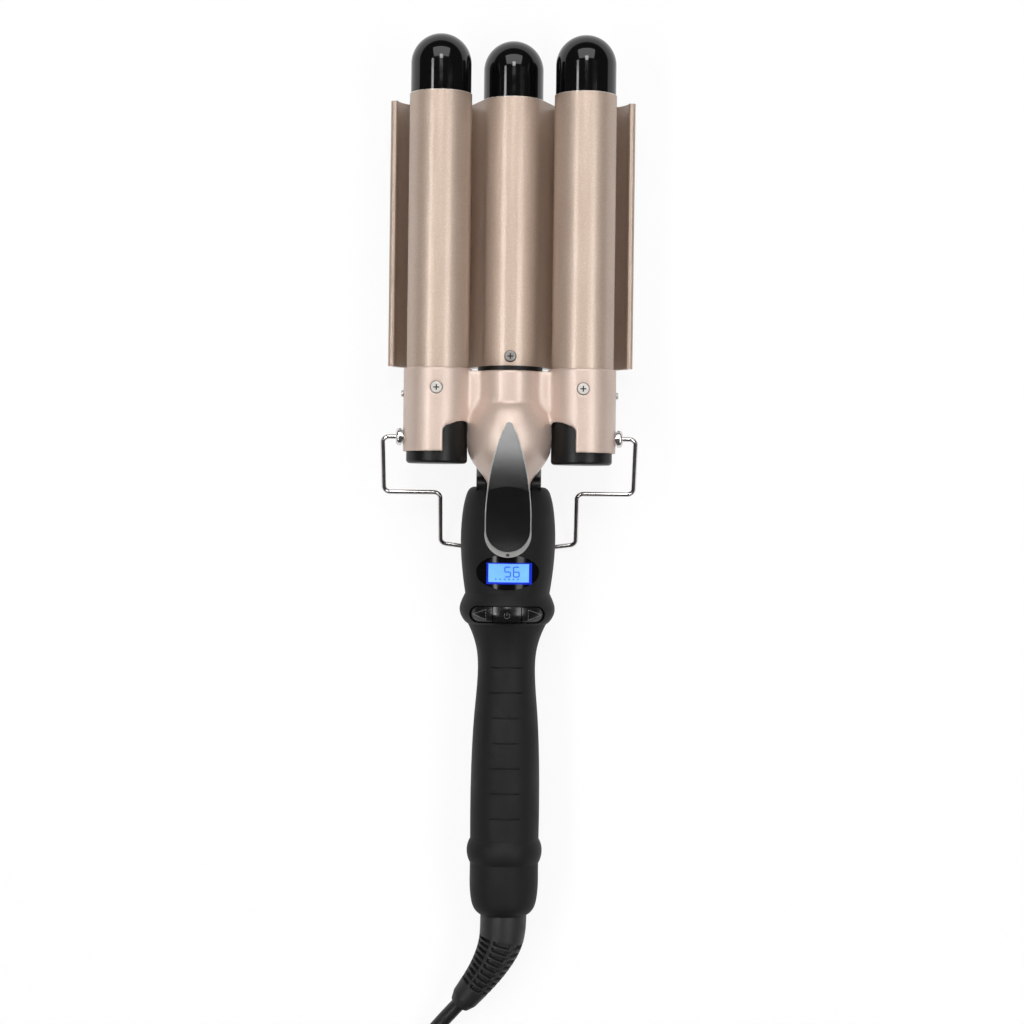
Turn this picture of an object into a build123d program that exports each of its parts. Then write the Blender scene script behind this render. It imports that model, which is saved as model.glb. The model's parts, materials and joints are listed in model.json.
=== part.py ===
from build123d import *
from math import asin, cos, pi, radians, sin, sqrt, tan
import os

# Three-barrel hair waver, lying on its back with its stand folded. Units are millimetres.
# While it is built, Y = 0 is the clamp hinge's pin, +Y runs to the barrel tips, +X is to the
# right and z = 0 is the table. Each node is shifted along Y when it is written, so that the
# origin ends up under the middle of the object, its free cord left aside.

# ------------------------------------------------------------------ driving dimensions
# clearances
FIT = 0.1             # pieces of one body that sit in or on each other
RUN = 0.06            # a shaft in its hole, on the radius
FREE = 0.4            # pieces that pass each other as they move

# barrels
BARREL_R = 12.5
BARREL_WALL = 1.2
BARREL_X = 29.05      # from the middle plane to each front barrel's axis
BARREL_LIFT = 13.5    # front barrels' axes above the centre tube's axis
BARREL_Y0 = 46.3      # where the barrels come out of their sockets
BARREL_Y1 = 156.1     # their open ends, under the tip caps
BARREL_SEAT = 20.0    # length of barrel inside a socket
CAP_R = 12.15
CAP_STRAIGHT = 12.3
CAP_PLUG = 8.0

# rear plate, the extrusion with the centre tube and two channels
PLATE_Y0 = 47.9
PLATE_WALL = 2.6
CHANNEL_R = 19.2
CHANNEL_LIFT = 4.0    # channel centres above the centre tube's axis
LIP_TOP = -0.6        # lips against the centre tube's axis
LIP_BEAD_R = 1.5
LIP_X = 48.4          # centre of the bead along each lip
FLARE = [(11.55, 4.66), (16.93, -8.52), (18.77, -11.49), (21.5, -13.65)]
# the flank from the centre tube down into the channel, (X, Z) against the tube's axis:
# straight to the second point, then hollow through the third to the last
FLARE_CORE = [(16.0, -11.5), (11.0, -5.5), (11.0, 4.5)]     # its inner corners, in the walls

# heights
AXIS_Z = 17.4         # axis of the centre tube, the neck and the handle
FRONT_Z = AXIS_Z + BARREL_LIFT
HINGE_Z = 25.5

# handle: radius at each Y of a turned outline, with a flat back
HANDLE_WALL = 2.2
BACK_Z = 0.5          # height of the flat back
SHOULDER = [(-0.8, 13.6), (-1.7, 15.9), (-4.2, 17.2), (-11.8, 18.7), (-23.6, 19.25),
            (-32.2, 18.75), (-44.0, 17.2)]
BULGE = [(-44.0, 17.2), (-46.6, 18.4), (-50.5, 19.4), (-54.1, 18.3), (-56.6, 15.9)]
GRIP = [(-56.6, 15.9), (-60.5, 14.1), (-67.2, 12.2), (-75.3, 11.65), (-91.6, 12.75),
        (-112.0, 13.8), (-130.0, 14.05), (-143.8, 13.95)]
RING = [(-143.8, 13.95), (-146.2, 15.0), (-148.6, 15.3), (-151.0, 15.0), (-153.6, 13.95)]
TAIL = [(-153.6, 13.95), (-161.0, 13.95), (-167.5, 13.5), (-172.1, 12.2), (-174.6, 9.7)]
GROOVES = 7           # shallow grooves across the front of the grip
GROOVE_Y1 = -73.8     # the first of them
GROOVE_PITCH = 10.1
GROOVE_R = 0.35       # half their width, and their depth on the middle line
GROOVE_LIFT = 2.5     # their arcs' centres above the handle's axis: they fade to both sides
HANDLE_Y1 = SHOULDER[0][0]
SEAM_Y = TAIL[0][0]
TAIL_Y0 = TAIL[-1][0]
TAIL_WALL = 3.0
TAIL_SPIGOT = 4.0
SEAM_R = TAIL[0][1]

# front housing
SOCKET_R = 13.6
SOCKET_Y0 = 12.7
END_CAP_R = 12.25
END_CAP_Y0 = 8.1
END_CAP_EDGE = 1.4
NOTCH_X = 26.4        # the sockets' inner sides are cut away inside this
NOTCH_Y = 21.9
NOTCH_RISE = 2.0      # the notch's slanting edge runs up by this
DOME_R = 17.2
DOME_Y = 22.3         # its widest place
DOME_REAR = 26.0      # from there to its rear end
DOME_FRONT = 15.0     # and to its front end, inside the collar
DOME_WALL = 2.2
COLLAR_R = 12.9
COLLAR_Y1 = 45.2      # front edge of the collar and of the web
WEB_T = 2.4           # web between collar and sockets
PAD_T = 6.0           # the raised pad on it, with slanting rear edges
PAD_REAR = [(12.0, 31.0), (24.5, 24.5)]     # (X, Y)
KNUCKLE_R = 5.0
KNUCKLE_X = (5.3, 8.7)
GUSSET_Y = (-1.5, 11.0)

# thumb lever
LEVER_TOP = [(24.6, 48.4), (-3.0, 51.7), (-29.6, 51.9)]   # (Y, Z) of the inlay's arched top
LEVER_TIP_Y = 24.4
LEVER_FLANK = [(23.4, 1.3), (8.0, 6.1), (-12.0, 8.65)]     # (Y, half width) along its sides
LEVER_REAR_Y = -18.4       # where the sides turn into the rounded rear end
LEVER_Y0 = -26.6
LEVER_RIM = 0.5
LEVER_LIP = 2.4       # the tongue runs on behind the inlay by this
LEVER_T = 2.4
INLAY_T = 1.6
THUMB_DISH_R = 130.0
THUMB_DISH_Y = -12.2
THUMB_DISH_DEPTH = 0.6
RIB_HALF_X = 3.0
RIB_Y = (7.6, 18.0)
RIB_Z = 45.0

# neck, hinge and clamp spring
NECK_R = 13.2
NECK_WALL = 2.4
NECK_PLUG = 12.0
NECK_TAIL_R = 9.5
NECK_TAIL_Y = -8.0
NECK_FLANGE_R = 11.4
NECK_FLANGE_T = 2.4
EAR_X = (9.3, 12.9)
EAR_R = 3.3
EAR_LEG_X = 12.9
SLOT_Y = (-6.2, 12.5)
SLOT_FLOOR = 21.8
SADDLE_R = 12.3
SADDLE_X = 9.2
PIN_R = 1.7
PIN_HEAD_R = 2.5       # head and clip lie flush in the ears
PIN_HEAD_T = 1.0
SPRING_WIRE_R = 0.6
SPRING_R = 3.0
SPRING_PITCH = 1.3
SPRING_TURNS = 6.25
SPRING_LEG = 10.0

# stand, a bail of bent wire
WIRE_R = 1.0
STAND_Y = 18.7        # its pivots, on the front barrels' axes
STAND_X = 50.8        # the outer uprights
STAND_STEP = 26.2     # from the pivots to the step inwards
STAND_INNER_X = 27.9
STAND_CORNER = 51.0   # from the pivots to the lower corners
STAND_REACH = 55.2    # and to the middle of the bar
STAND_BEND_R = 2.6
STAND_MIDDLE_R = 12.0
BOLT_HEAD_R = 3.5
BOLT_HEAD_T = 2.2
BOLT_SHANK_R = 1.5
BOLT_SHANK = 3.2
WASHER_R = 2.9
WASHER_T = 0.4
GROOVE_PAD = (14.0, 3.6, 4.6)   # half width, half length and height of the pad over the wire

# display and buttons
LENS_Y = -35.2
LENS_HALF = (12.65, 7.1)
LENS_T = 1.6
MODULE_SIZE = (18.3, 9.2, 2.0)
MODULE_X = 0.6
BUTTON_Y = -52.2
BUTTON_FIELD = (30.4, 7.0)
BUTTON_SPLIT = 5.75
BUTTON_SINK = 0.7     # the buttons lie this far below the bulge
BUTTON_GAP = 0.35
BUTTON_TRAVEL = 0.7
BUTTON_FOOT = 24.5    # height of the buttons' undersides

# electronics
BOARD_Y = (-60.0, -24.5)
BOARD_HALF_X = 10.2
BOARD_T = 1.6
BOARD_Z = 19.8
POST_R = 2.6
POSTS = [(-7.0, -28.0), (7.0, -28.0), (-6.0, -57.0), (6.0, -57.0)]
SWITCH_HALF = 2.3
RELAY_SIZE = (10.0, 7.5, 7.5)
RELAY_Y = -52.0
CAPACITOR = (3.2, 8.0)   # radius and height
CAPACITOR_Y = -36.5
HEATER = (13.0, 2.4)  # section of the ceramic heater bars
HEATER_START = 13.7   # the heater begins this far past the sockets
HEATER_GAP = 2.1      # and ends this far from the tip cap's plug
HEATER_Y = (BARREL_Y0 + HEATER_START, BARREL_Y1 - CAP_PLUG - HEATER_GAP)
CLIP_WALL = 1.6

# screws: head radius, head height, shank radius, length
SCREW_SLOT = 0.5
SCREW_SINK = 0.45
BARREL_SCREW = (2.35, 1.2, 1.2, 4.4)
BARREL_SCREW_Y = 38.0
SIDE_SCREW = (1.3, 0.9, 0.8, 2.6)
SIDE_SCREW_Y = 36.0
NECK_SCREW = (2.3, 1.1, 1.2, 5.0)
NECK_SCREW_IN = 3.7   # behind the plate's end
SMALL_SCREW = (2.0, 1.1, 0.9, 5.0)
LEVER_SCREW = (2.0, 1.1, 0.9, 3.0)
HANDLE_SCREW = (2.6, 1.4, 1.3, 14.0)
HANDLE_SCREW_Y = (-12.5, -72.0, -138.0)
BOSS_R = 3.4

# swivel, boot and cord
CORD_R = 3.0
BOOT_END_R = 5.6
BOOT_Y1 = TAIL_Y0 - FREE
BOOT_SEAT = 6.0       # length of the swivel's core inside the boot
SWIVEL_R = 6.0
SWIVEL_FLANGE_R = 8.4
SWIVEL_FLANGE_T = 2.4
SWIVEL_Y1 = -158.0
RING_T = 1.2
RING_Y = (-163.4, -166.6)
COIL_MEAN_R = 36.0    # radius of the coil's middle turn
COIL_CENTRE_Y = -286.0
COIL_RINGS = 4        # turns beside each other in the lower layer
COIL_TURNS = 7        # turns in both layers
TIE_T = 0.8
TIE_LENGTH = 12.0
PLUG_SIZE = (26.0, 19.0, 13.0)
PLUG_ANGLE = -84.0    # where the plug lies on the coil
PLUG_RELIEF = 9.0
PLUG_BACK = 24.0      # the plug's cord end lies this many degrees before its middle
BLADE_SIZE = (17.0, 1.5, 6.4)
BLADE_PITCH = 12.7

# The boot's centreline with its radius at each point, and the cord's route to the coil.
BOOT_LINE = [((0.0, BOOT_Y1, AXIS_Z), 9.4), ((0.0, -181.0, AXIS_Z), 9.4),
             ((-1.3, -187.5, 17.1), 8.8), ((-4.9, -195.2, 16.2), 7.6), ((-9.8, -202.8, 14.7), 6.5),
             ((-15.4, -210.0, 12.8), BOOT_END_R)]
TIE_LIFT = 0.9        # the coil lies on its tie
CORD_ROUTE = [(-15.4, -210.0, 12.8), (-26.6, -222.6, 7.6), (-36.6, -236.8, 4.6),
              (-42.6, -252.8, 3.9), (-44.9, -269.2, 3.9), (-45.0, -284.0, 3.9)]


# ------------------------------------------------------------------ helpers
def block(x0, x1, y0, y1, z0, z1):
    """A box between two corners."""
    return Pos((x0 + x1) / 2, (y0 + y1) / 2, (z0 + z1) / 2) * Box(x1 - x0, y1 - y0, z1 - z0)


def rod_y(radius, y0, y1, x=0.0, z=AXIS_Z):
    """A solid cylinder along Y."""
    return Pos(x, (y0 + y1) / 2, z) * Rot(90, 0, 0) * Cylinder(radius, y1 - y0)


def rod_x(radius, x0, x1, y=0.0, z=HINGE_Z):
    """A solid cylinder along X."""
    return Pos((x0 + x1) / 2, y, z) * Rot(0, 90, 0) * Cylinder(radius, x1 - x0)


def rod_z(radius, x, y, z0, z1):
    """A solid cylinder along Z."""
    return Pos(x, y, (z0 + z1) / 2) * Cylinder(radius, z1 - z0)


def turned(outlines, inset=0.0):
    """A solid turned about the handle's axis from smooth outlines, with the handle's flat back."""
    curves = [Spline([(r - inset, y) for y, r in points]) for points in outlines]
    start, end = curves[0] @ 0, curves[-1] @ 1
    ends = [Line((0, start.Y), start), Line(end, (0, end.Y)), Line((0, end.Y), (0, start.Y))]
    body = Pos(0, 0, AXIS_Z) * revolve(make_face(curves + ends), Axis.Y)
    half = 2 * AXIS_Z
    return body & block(-half, half, end.Y, start.Y, BACK_Z + inset, 2 * half)


def mirrored(shape):
    """The shape's mirror image in the middle plane."""
    return mirror(shape, Plane.YZ)


def extruded_y(section, y0, y1):
    """Run a section that is drawn in XZ from y0 to y1."""
    return Pos(0, y1, 0) * (Rot(90, 0, 0) * extrude(section, y1 - y0))


def extruded_x(section, half):
    """Run a section that is drawn in YZ to both sides of the middle plane."""
    return Pos(-half, 0, 0) * (Plane.YZ * extrude(section, 2 * half))


def swept(path, radius):
    """A round section run along a path."""
    return sweep(Plane(origin=path @ 0, z_dir=path % 0) * Circle(radius), path=path)


def screw(head_r, head_t, shank_r, length):
    """A pan-head screw: its head's underside at the origin, the shank down -Z, a cross on top."""
    head = Pos(0, 0, head_t / 2) * Cylinder(head_r, head_t)
    head = fillet(head.edges().group_by(Axis.Z)[-1], head_t * 0.45)
    for wide, high in ((head_r, SCREW_SLOT), (SCREW_SLOT, head_r)):
        head -= Pos(0, 0, head_t) * Box(wide, high, head_t)
    return head + Pos(0, 0, -length / 2) * Cylinder(shank_r, length)


nodes = {}


# ------------------------------------------------------------------ rear plate and centre tube
def plate_section():
    """The plate's section in XZ: centre tube, two channels with flat backs, beaded lips."""
    lip_z = AXIS_Z + LIP_TOP
    section = Pos(0, AXIS_Z) * Circle(BARREL_R)
    for side in (1, -1):
        at = Pos(side * BARREL_X, AXIS_Z + CHANNEL_LIFT)
        band = at * (Circle(CHANNEL_R + PLATE_WALL) - Circle(CHANNEL_R))
        keep = Pos(side * LIP_X / 2, lip_z / 2) * Rectangle(LIP_X, lip_z)
        bead = Pos(side * LIP_X, lip_z - LIP_BEAD_R) * Circle(LIP_BEAD_R)
        section += (band & keep) + bead + flare(side)
    return section - Pos(0, AXIS_Z) * Circle(BARREL_R - BARREL_WALL)


def flare(side):
    """One flank between the centre tube and a channel, drawn in XZ."""
    start, low, bend, end = [(side * x, AXIS_Z + z) for x, z in FLARE]
    core = [(side * x, AXIS_Z + z) for x, z in FLARE_CORE]
    return make_face([Line(start, low), ThreePointArc(low, bend, end), Polyline(end, *core, start)])


def make_rear_plate():
    screw_y = PLATE_Y0 + NECK_SCREW_IN
    head_z = AXIS_Z + BARREL_R - SCREW_SINK
    plate = extruded_y(plate_section(), PLATE_Y0, BARREL_Y1)
    plate -= rod_z(NECK_SCREW[0] + FIT, 0, screw_y, head_z, head_z + NECK_SCREW[1])
    plate -= rod_z(NECK_SCREW[2] + FIT, 0, screw_y, AXIS_Z, head_z)
    nodes["rear_plate"] = plate
    nodes["neck_screw"] = Pos(0, screw_y, head_z) * screw(*NECK_SCREW)


# ------------------------------------------------------------------ barrels, tip caps and heaters
def tip_cap(x, z):
    """A domed cap with a hollow plug that sits in the barrel's open end."""
    dome_y = BARREL_Y1 + CAP_STRAIGHT
    sides = Polyline((0, BARREL_Y1), (CAP_R, BARREL_Y1), (CAP_R, dome_y))
    dome = CenterArc((0, dome_y), CAP_R, 0, 90)
    cap = revolve(make_face([sides, dome, Line((0, dome_y + CAP_R), (0, BARREL_Y1))]), Axis.Y)
    bore = BARREL_R - BARREL_WALL - FIT
    cap += rod_y(bore, BARREL_Y1 - CAP_PLUG, BARREL_Y1, 0, 0)
    return Pos(x, 0, z) * (cap - rod_y(bore - BARREL_WALL, BARREL_Y1 - CAP_PLUG, dome_y, 0, 0))


def heater_clip(x, z):
    """The aluminium carrier that takes the heater bar's warmth to the barrel."""
    bore = BARREL_R - BARREL_WALL - FIT
    ring = Circle(bore) - Circle(bore - CLIP_WALL)
    bar = Rectangle(2 * bore, HEATER[1] + 2 * CLIP_WALL) & Circle(bore)
    section = (ring + bar) - Rectangle(HEATER[0] + 2 * FIT, HEATER[1] + 2 * FIT)
    return Pos(x, 0, z) * extruded_y(section, *HEATER_Y)


def heater(x, z):
    """A flat ceramic heater bar."""
    half_x, half_z = HEATER[0] / 2, HEATER[1] / 2
    return block(x - half_x, x + half_x, *HEATER_Y, z - half_z, z + half_z)


def front_barrel():
    """The right front barrel, with its two screw holes."""
    y0 = BARREL_Y0 - BARREL_SEAT
    barrel = rod_y(BARREL_R, y0, BARREL_Y1, BARREL_X, FRONT_Z)
    barrel -= rod_y(BARREL_R - BARREL_WALL, y0, BARREL_Y1, BARREL_X, FRONT_Z)
    return barrel - barrel_screw_holes()


def barrel_screw_holes():
    """Holes through the right socket and barrel for the top screw and the side screw."""
    top = rod_z(BARREL_SCREW[2] + FIT, BARREL_X, BARREL_SCREW_Y, FRONT_Z, FRONT_Z + SOCKET_R)
    side = rod_x(SIDE_SCREW[2] + FIT, BARREL_X, BARREL_X + SOCKET_R, SIDE_SCREW_Y, FRONT_Z)
    return [top, side]


def make_barrels():
    places = {"centre": (0.0, AXIS_Z), "left": (-BARREL_X, FRONT_Z), "right": (BARREL_X, FRONT_Z)}
    for name, (x, z) in places.items():
        nodes[f"{name}_tip_cap"] = tip_cap(x, z)
        nodes[f"{name}_heater"] = heater(x, z)
        nodes[f"{name}_heater_clip"] = heater_clip(x, z)
    nodes["right_barrel"] = front_barrel()
    nodes["left_barrel"] = mirrored(front_barrel())
    top_z = FRONT_Z + SOCKET_R - SCREW_SINK
    top = Pos(BARREL_X, BARREL_SCREW_Y, top_z) * screw(*BARREL_SCREW)
    side_x = BARREL_X + SOCKET_R
    side = Pos(side_x, SIDE_SCREW_Y, FRONT_Z) * Rot(0, 90, 0) * screw(*SIDE_SCREW)
    nodes["barrel_screws"] = Compound([top, mirrored(top)])
    nodes["side_screws"] = Compound([side, mirrored(side)])


# ------------------------------------------------------------------ front housing
def egg(inset):
    """The dome's egg shape, drawn smaller by inset."""
    r, rear, front = DOME_R - inset, DOME_REAR - inset, DOME_FRONT - inset
    points = []
    for turn in range(90, -91, -30):
        length = front if turn > 0 else rear
        points.append((r * cos(radians(turn)), DOME_Y + length * sin(radians(turn))))
    outline = Spline(points, tangents=[(1, 0), (-1, 0)])
    chord = Line(outline @ 1, outline @ 0)
    return Pos(0, 0, FRONT_Z) * revolve(make_face([outline, chord]), Axis.Y)


def front_sockets():
    """Both sockets and the web between them, with the notches beside the dome cut out."""
    floor_z = FRONT_Z + FIT
    web = block(-BARREL_X, BARREL_X, NOTCH_Y, COLLAR_Y1, floor_z, floor_z + WEB_T)
    half = [*PAD_REAR, (PAD_REAR[-1][0], COLLAR_Y1)]
    rim = half + [(-x, y) for x, y in reversed(half)]
    web += Pos(0, 0, floor_z) * extrude(make_face(Polyline(*rim, close=True)), PAD_T)
    socket = rod_y(SOCKET_R, SOCKET_Y0, BARREL_Y0, BARREL_X, FRONT_Z)
    shape = web + socket + mirrored(socket)
    corners = [(0, SOCKET_Y0 - 1), (NOTCH_X, SOCKET_Y0 - 1), (NOTCH_X, NOTCH_Y),
               (NOTCH_X - SOCKET_R / 2, NOTCH_Y + NOTCH_RISE), (0, NOTCH_Y + NOTCH_RISE)]
    notch = extrude(make_face(Polyline(*corners, close=True)), FRONT_Z + 2 * SOCKET_R)
    return shape - notch - mirrored(notch)


def housing_shell():
    """The dome with the collar in front of it, hollow and open below."""
    above = block(-STAND_X, STAND_X, -BARREL_Y0, BARREL_Y0, FRONT_Z + FIT, FRONT_Z + 2 * DOME_R)
    collar = rod_y(COLLAR_R, DOME_Y, COLLAR_Y1, 0, FRONT_Z)
    pocket = block(-RIB_HALF_X - FIT, RIB_HALF_X + FIT, LEVER_Y0, RIB_Y[1] + FIT, RIB_Z, 2 * RIB_Z)
    ceiling = block(-STAND_X, STAND_X, -BARREL_Y0, 2 * BARREL_Y0, 0, RIB_Z - DOME_WALL)
    hollow = rod_y(COLLAR_R - DOME_WALL, DOME_Y, 2 * BARREL_Y0, 0, FRONT_Z)
    inside = (egg(DOME_WALL) + hollow) & ceiling
    return ((egg(0) + collar) & above) - pocket + front_sockets() - inside


def housing_knuckle():
    """The right hinge knuckle with the web that joins it to the dome's inside."""
    web = block(*KNUCKLE_X, *GUSSET_Y, HINGE_Z, RIB_Z)
    low = block(*KNUCKLE_X, *GUSSET_Y, HINGE_Z, FRONT_Z + 2 * FIT)
    return rod_x(KNUCKLE_R, *KNUCKLE_X) + (web & egg(DOME_WALL / 2)) + low


def make_front_housing():
    knuckle = housing_knuckle()
    housing = housing_shell() + [knuckle, mirrored(knuckle)]
    head_z = FRONT_Z + SOCKET_R - SCREW_SINK
    holes = barrel_screw_holes()
    holes.append(rod_y(BARREL_R + FIT, 0, 2 * BARREL_Y0, BARREL_X, FRONT_Z))
    holes.append(rod_z(BARREL_SCREW[0] + FIT, BARREL_X, BARREL_SCREW_Y, head_z, head_z + SCREW_SINK * 2))
    holes.append(rod_x(BOLT_SHANK_R + FIT, BARREL_X, BARREL_X + SOCKET_R, STAND_Y, FRONT_Z))
    for hole in holes:
        housing -= [hole, mirrored(hole)]
    for y in lever_screw_places():
        housing -= rod_z(SMALL_SCREW[2] + FIT, 0, y, FRONT_Z, RIB_Z + FIT)
    nodes["front_housing"] = housing - rod_x(PIN_R + RUN, -EAR_X[1], EAR_X[1])


def make_end_caps():
    y1 = BARREL_Y0 - BARREL_SEAT - FIT * 4
    cap = rod_y(END_CAP_R, END_CAP_Y0, y1, BARREL_X, FRONT_Z)
    cap = fillet(cap.edges().group_by(Axis.Y)[0], END_CAP_EDGE)
    cap -= rod_y(END_CAP_R - NECK_WALL, END_CAP_Y0 + NECK_WALL, y1, BARREL_X, FRONT_Z)
    cap -= rod_x(BOLT_SHANK_R + FIT, BARREL_X, BARREL_X + SOCKET_R, STAND_Y, FRONT_Z)
    nodes["right_end_cap"] = cap
    nodes["left_end_cap"] = mirrored(cap)


# ------------------------------------------------------------------ thumb lever
def lever_outline(grow, y0):
    """The lever's outline seen from above, widened by grow, with a rounded rear end at y0."""
    flank = [(w + grow, y) for y, w in LEVER_FLANK]
    rear = (flank[-1][0], LEVER_REAR_Y)
    edges = []
    for side in (1, -1):
        at = [(side * x, y) for x, y in flank]
        edges += [ThreePointArc(*at), Line(at[-1], (side * rear[0], rear[1]))]
    tip = (0, LEVER_TIP_Y + grow)
    edges.append(ThreePointArc(flank[0], tip, (-flank[0][0], flank[0][1])))
    edges.append(ThreePointArc(rear, (0, y0), (-rear[0], rear[1])))
    return make_face(edges)


def lever_layer(grow, y0, drop0, drop1):
    """A slice of the lever: between two depths below its top, inside an outline."""
    top = ThreePointArc(*[(y, z - drop0) for y, z in LEVER_TOP])
    low = ThreePointArc(*[(y, z - drop1) for y, z in LEVER_TOP])
    side = make_face([top, low, Line(top @ 0, low @ 0), Line(top @ 1, low @ 1)])
    return extrude(lever_outline(grow, y0), 3 * FRONT_Z) & extruded_x(side, STAND_X)


def lever_screw_places():
    """The two screws that hold the lever's rib to the dome."""
    inset = 2 * SMALL_SCREW[0] - SMALL_SCREW[2]
    return (RIB_Y[0] + inset, RIB_Y[1] - inset)


def make_lever():
    inlay = lever_layer(0, LEVER_Y0, 0, INLAY_T)
    dish_z = LEVER_TOP[1][1] + THUMB_DISH_R - THUMB_DISH_DEPTH
    inlay -= Pos(0, THUMB_DISH_Y, dish_z) * Sphere(THUMB_DISH_R)
    tongue = lever_layer(LEVER_RIM, LEVER_Y0 - LEVER_LIP, INLAY_T, INLAY_T + LEVER_T)
    tongue += lever_layer(LEVER_RIM, LEVER_Y0 - LEVER_LIP, INLAY_T / 2, INLAY_T)
    tongue += block(-RIB_HALF_X, RIB_HALF_X, *RIB_Y, RIB_Z, LEVER_TOP[1][1] - INLAY_T - LEVER_T / 2)
    tongue -= lever_layer(FIT, LEVER_Y0 - FIT, 0, INLAY_T)
    dome = egg(-FIT) + rod_y(COLLAR_R + FIT, DOME_Y, BARREL_Y0, 0, FRONT_Z)
    screws = []
    for y in lever_screw_places():
        tongue -= rod_z(SMALL_SCREW[2], 0, y, 0, LEVER_TOP[1][1] - INLAY_T - LEVER_T)
        screws.append(Pos(0, y, RIB_Z - DOME_WALL) * Rot(180, 0, 0) * screw(*LEVER_SCREW))
    pocket = block(-RIB_HALF_X - FIT, RIB_HALF_X + FIT, *RIB_Y, RIB_Z, 2 * RIB_Z)
    nodes["thumb_lever"] = tongue - (dome - pocket)
    nodes["lever_inlay"] = inlay - dome
    nodes["lever_screws"] = Compound(screws)


# ------------------------------------------------------------------ neck, hinge pin and clamp spring
def make_neck():
    front = rod_y(NECK_R, HANDLE_Y1 + FIT, PLATE_Y0 - FIT)
    plug_r = BARREL_R - BARREL_WALL - FIT
    plug = rod_y(plug_r, PLATE_Y0 - FIT, PLATE_Y0 + NECK_PLUG)
    tail = rod_y(NECK_TAIL_R, NECK_TAIL_Y, HANDLE_Y1 + FIT)
    flange_y1 = HANDLE_Y1 - HANDLE_WALL - FIT
    flange = rod_y(NECK_FLANGE_R, flange_y1 - NECK_FLANGE_T, flange_y1)
    bore = rod_y(plug_r - NECK_WALL, NECK_TAIL_Y, PLATE_Y0 + NECK_PLUG, 0, AXIS_Z)
    bore &= block(-NECK_R, NECK_R, NECK_TAIL_Y, BARREL_Y1, 0, SLOT_FLOOR - NECK_WALL)
    bore += rod_y(plug_r - NECK_WALL, SLOT_Y[1] + NECK_WALL, PLATE_Y0 + NECK_PLUG)
    neck = front + plug + tail + flange - bore
    ear = ear_shape(0)
    ear += block(EAR_X[0], EAR_LEG_X, HANDLE_Y1 + FIT, EAR_R, AXIS_Z, HINGE_Z)
    neck += [ear, mirrored(ear)]
    inner = KNUCKLE_X[1] + FREE
    neck -= rod_x(KNUCKLE_R + FREE, -inner, inner)
    neck -= block(-inner, inner, *SLOT_Y, HINGE_Z - EAR_R / 4, HINGE_Z + NECK_R)
    neck -= block(-KNUCKLE_X[0], KNUCKLE_X[0], *SLOT_Y, SLOT_FLOOR, HINGE_Z)
    neck -= rod_x(PIN_R + RUN, -EAR_X[1], EAR_X[1])
    seat = rod_x(PIN_HEAD_R + FIT, EAR_X[1] - PIN_HEAD_T - FIT, 2 * EAR_X[1])
    neck -= [seat, mirrored(seat)]
    neck -= rod_z(NECK_SCREW[2], 0, PLATE_Y0 + NECK_SCREW_IN, AXIS_Z, AXIS_Z + BARREL_R)
    nodes["neck_holder"] = neck


def ear_shape(grow):
    """The right hinge ear, grown on all sides for the handle's pocket."""
    return rod_x(EAR_R + grow, EAR_X[0] - grow, EAR_X[1] + grow)


def make_hinge():
    end = EAR_X[1]
    head = rod_x(PIN_HEAD_R, end - PIN_HEAD_T, end)
    nodes["hinge_pin"] = rod_x(PIN_R, -end, end - PIN_HEAD_T) + head
    nodes["pin_clip"] = rod_x(PIN_HEAD_R, -end, PIN_HEAD_T - end) - rod_x(PIN_R + RUN, -2 * end, 0)


def make_spring():
    """A torsion spring about the pin: one leg lies on the neck, the other lifts the dome's rear."""
    length = SPRING_PITCH * SPRING_TURNS
    helix = Helix(pitch=SPRING_PITCH, height=length, radius=SPRING_R, lefthand=True)
    coil = Pos(-length / 2, 0, HINGE_Z) * Rot(0, 90, 0) * helix
    start, end = coil @ 0, coil @ 1
    rise = FRONT_Z + FIT - FREE - end.Z
    path = Wire([Line(start - (coil % 0) * SPRING_LEG, start), coil, Line(end, end + (coil % 1) * rise)])
    nodes["clamp_spring"] = swept(path, SPRING_WIRE_R)


# ------------------------------------------------------------------ stand
def stand_point(x, out):
    """A point of the folded bail: out is its distance from the pivots."""
    fall = asin((FRONT_Z - WIRE_R) / STAND_REACH)
    return (x, STAND_Y - out * cos(fall), FRONT_Z - out * sin(fall))


def make_stand():
    hub_x = BARREL_X + SOCKET_R + WASHER_T + 2 * FIT
    wire_end = hub_x + BOLT_HEAD_T / 3
    half = [(wire_end, 0), (STAND_X, 0), (STAND_X, STAND_STEP), (STAND_INNER_X, STAND_STEP),
            (STAND_INNER_X, STAND_CORNER)]
    points = [stand_point(-x, out) for x, out in half] + [stand_point(0, STAND_REACH)]
    points += [stand_point(x, out) for x, out in reversed(half)]
    radii = [STAND_BEND_R] * 4 + [STAND_MIDDLE_R] + [STAND_BEND_R] * 4
    nodes["stand_wire"] = swept(FilletPolyline(*points, radius=radii), WIRE_R)
    head = rod_x(BOLT_HEAD_R, hub_x, hub_x + BOLT_HEAD_T, STAND_Y, FRONT_Z)
    head = fillet(head.edges().group_by(Axis.X)[-1], BOLT_HEAD_T * 0.6)
    bolt = head + rod_x(BOLT_SHANK_R, hub_x - BOLT_SHANK, hub_x, STAND_Y, FRONT_Z)
    bolt -= rod_x(WIRE_R + RUN, wire_end - FIT, hub_x + 2 * BOLT_HEAD_T, STAND_Y, FRONT_Z)
    washer = rod_x(WASHER_R, hub_x - FIT - WASHER_T, hub_x - FIT, STAND_Y, FRONT_Z)
    washer -= rod_x(BOLT_SHANK_R + FIT, 0, hub_x, STAND_Y, FRONT_Z)
    nodes["stand_bolts"] = Compound([bolt, mirrored(bolt)])
    nodes["stand_washers"] = Compound([washer, mirrored(washer)])


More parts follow.
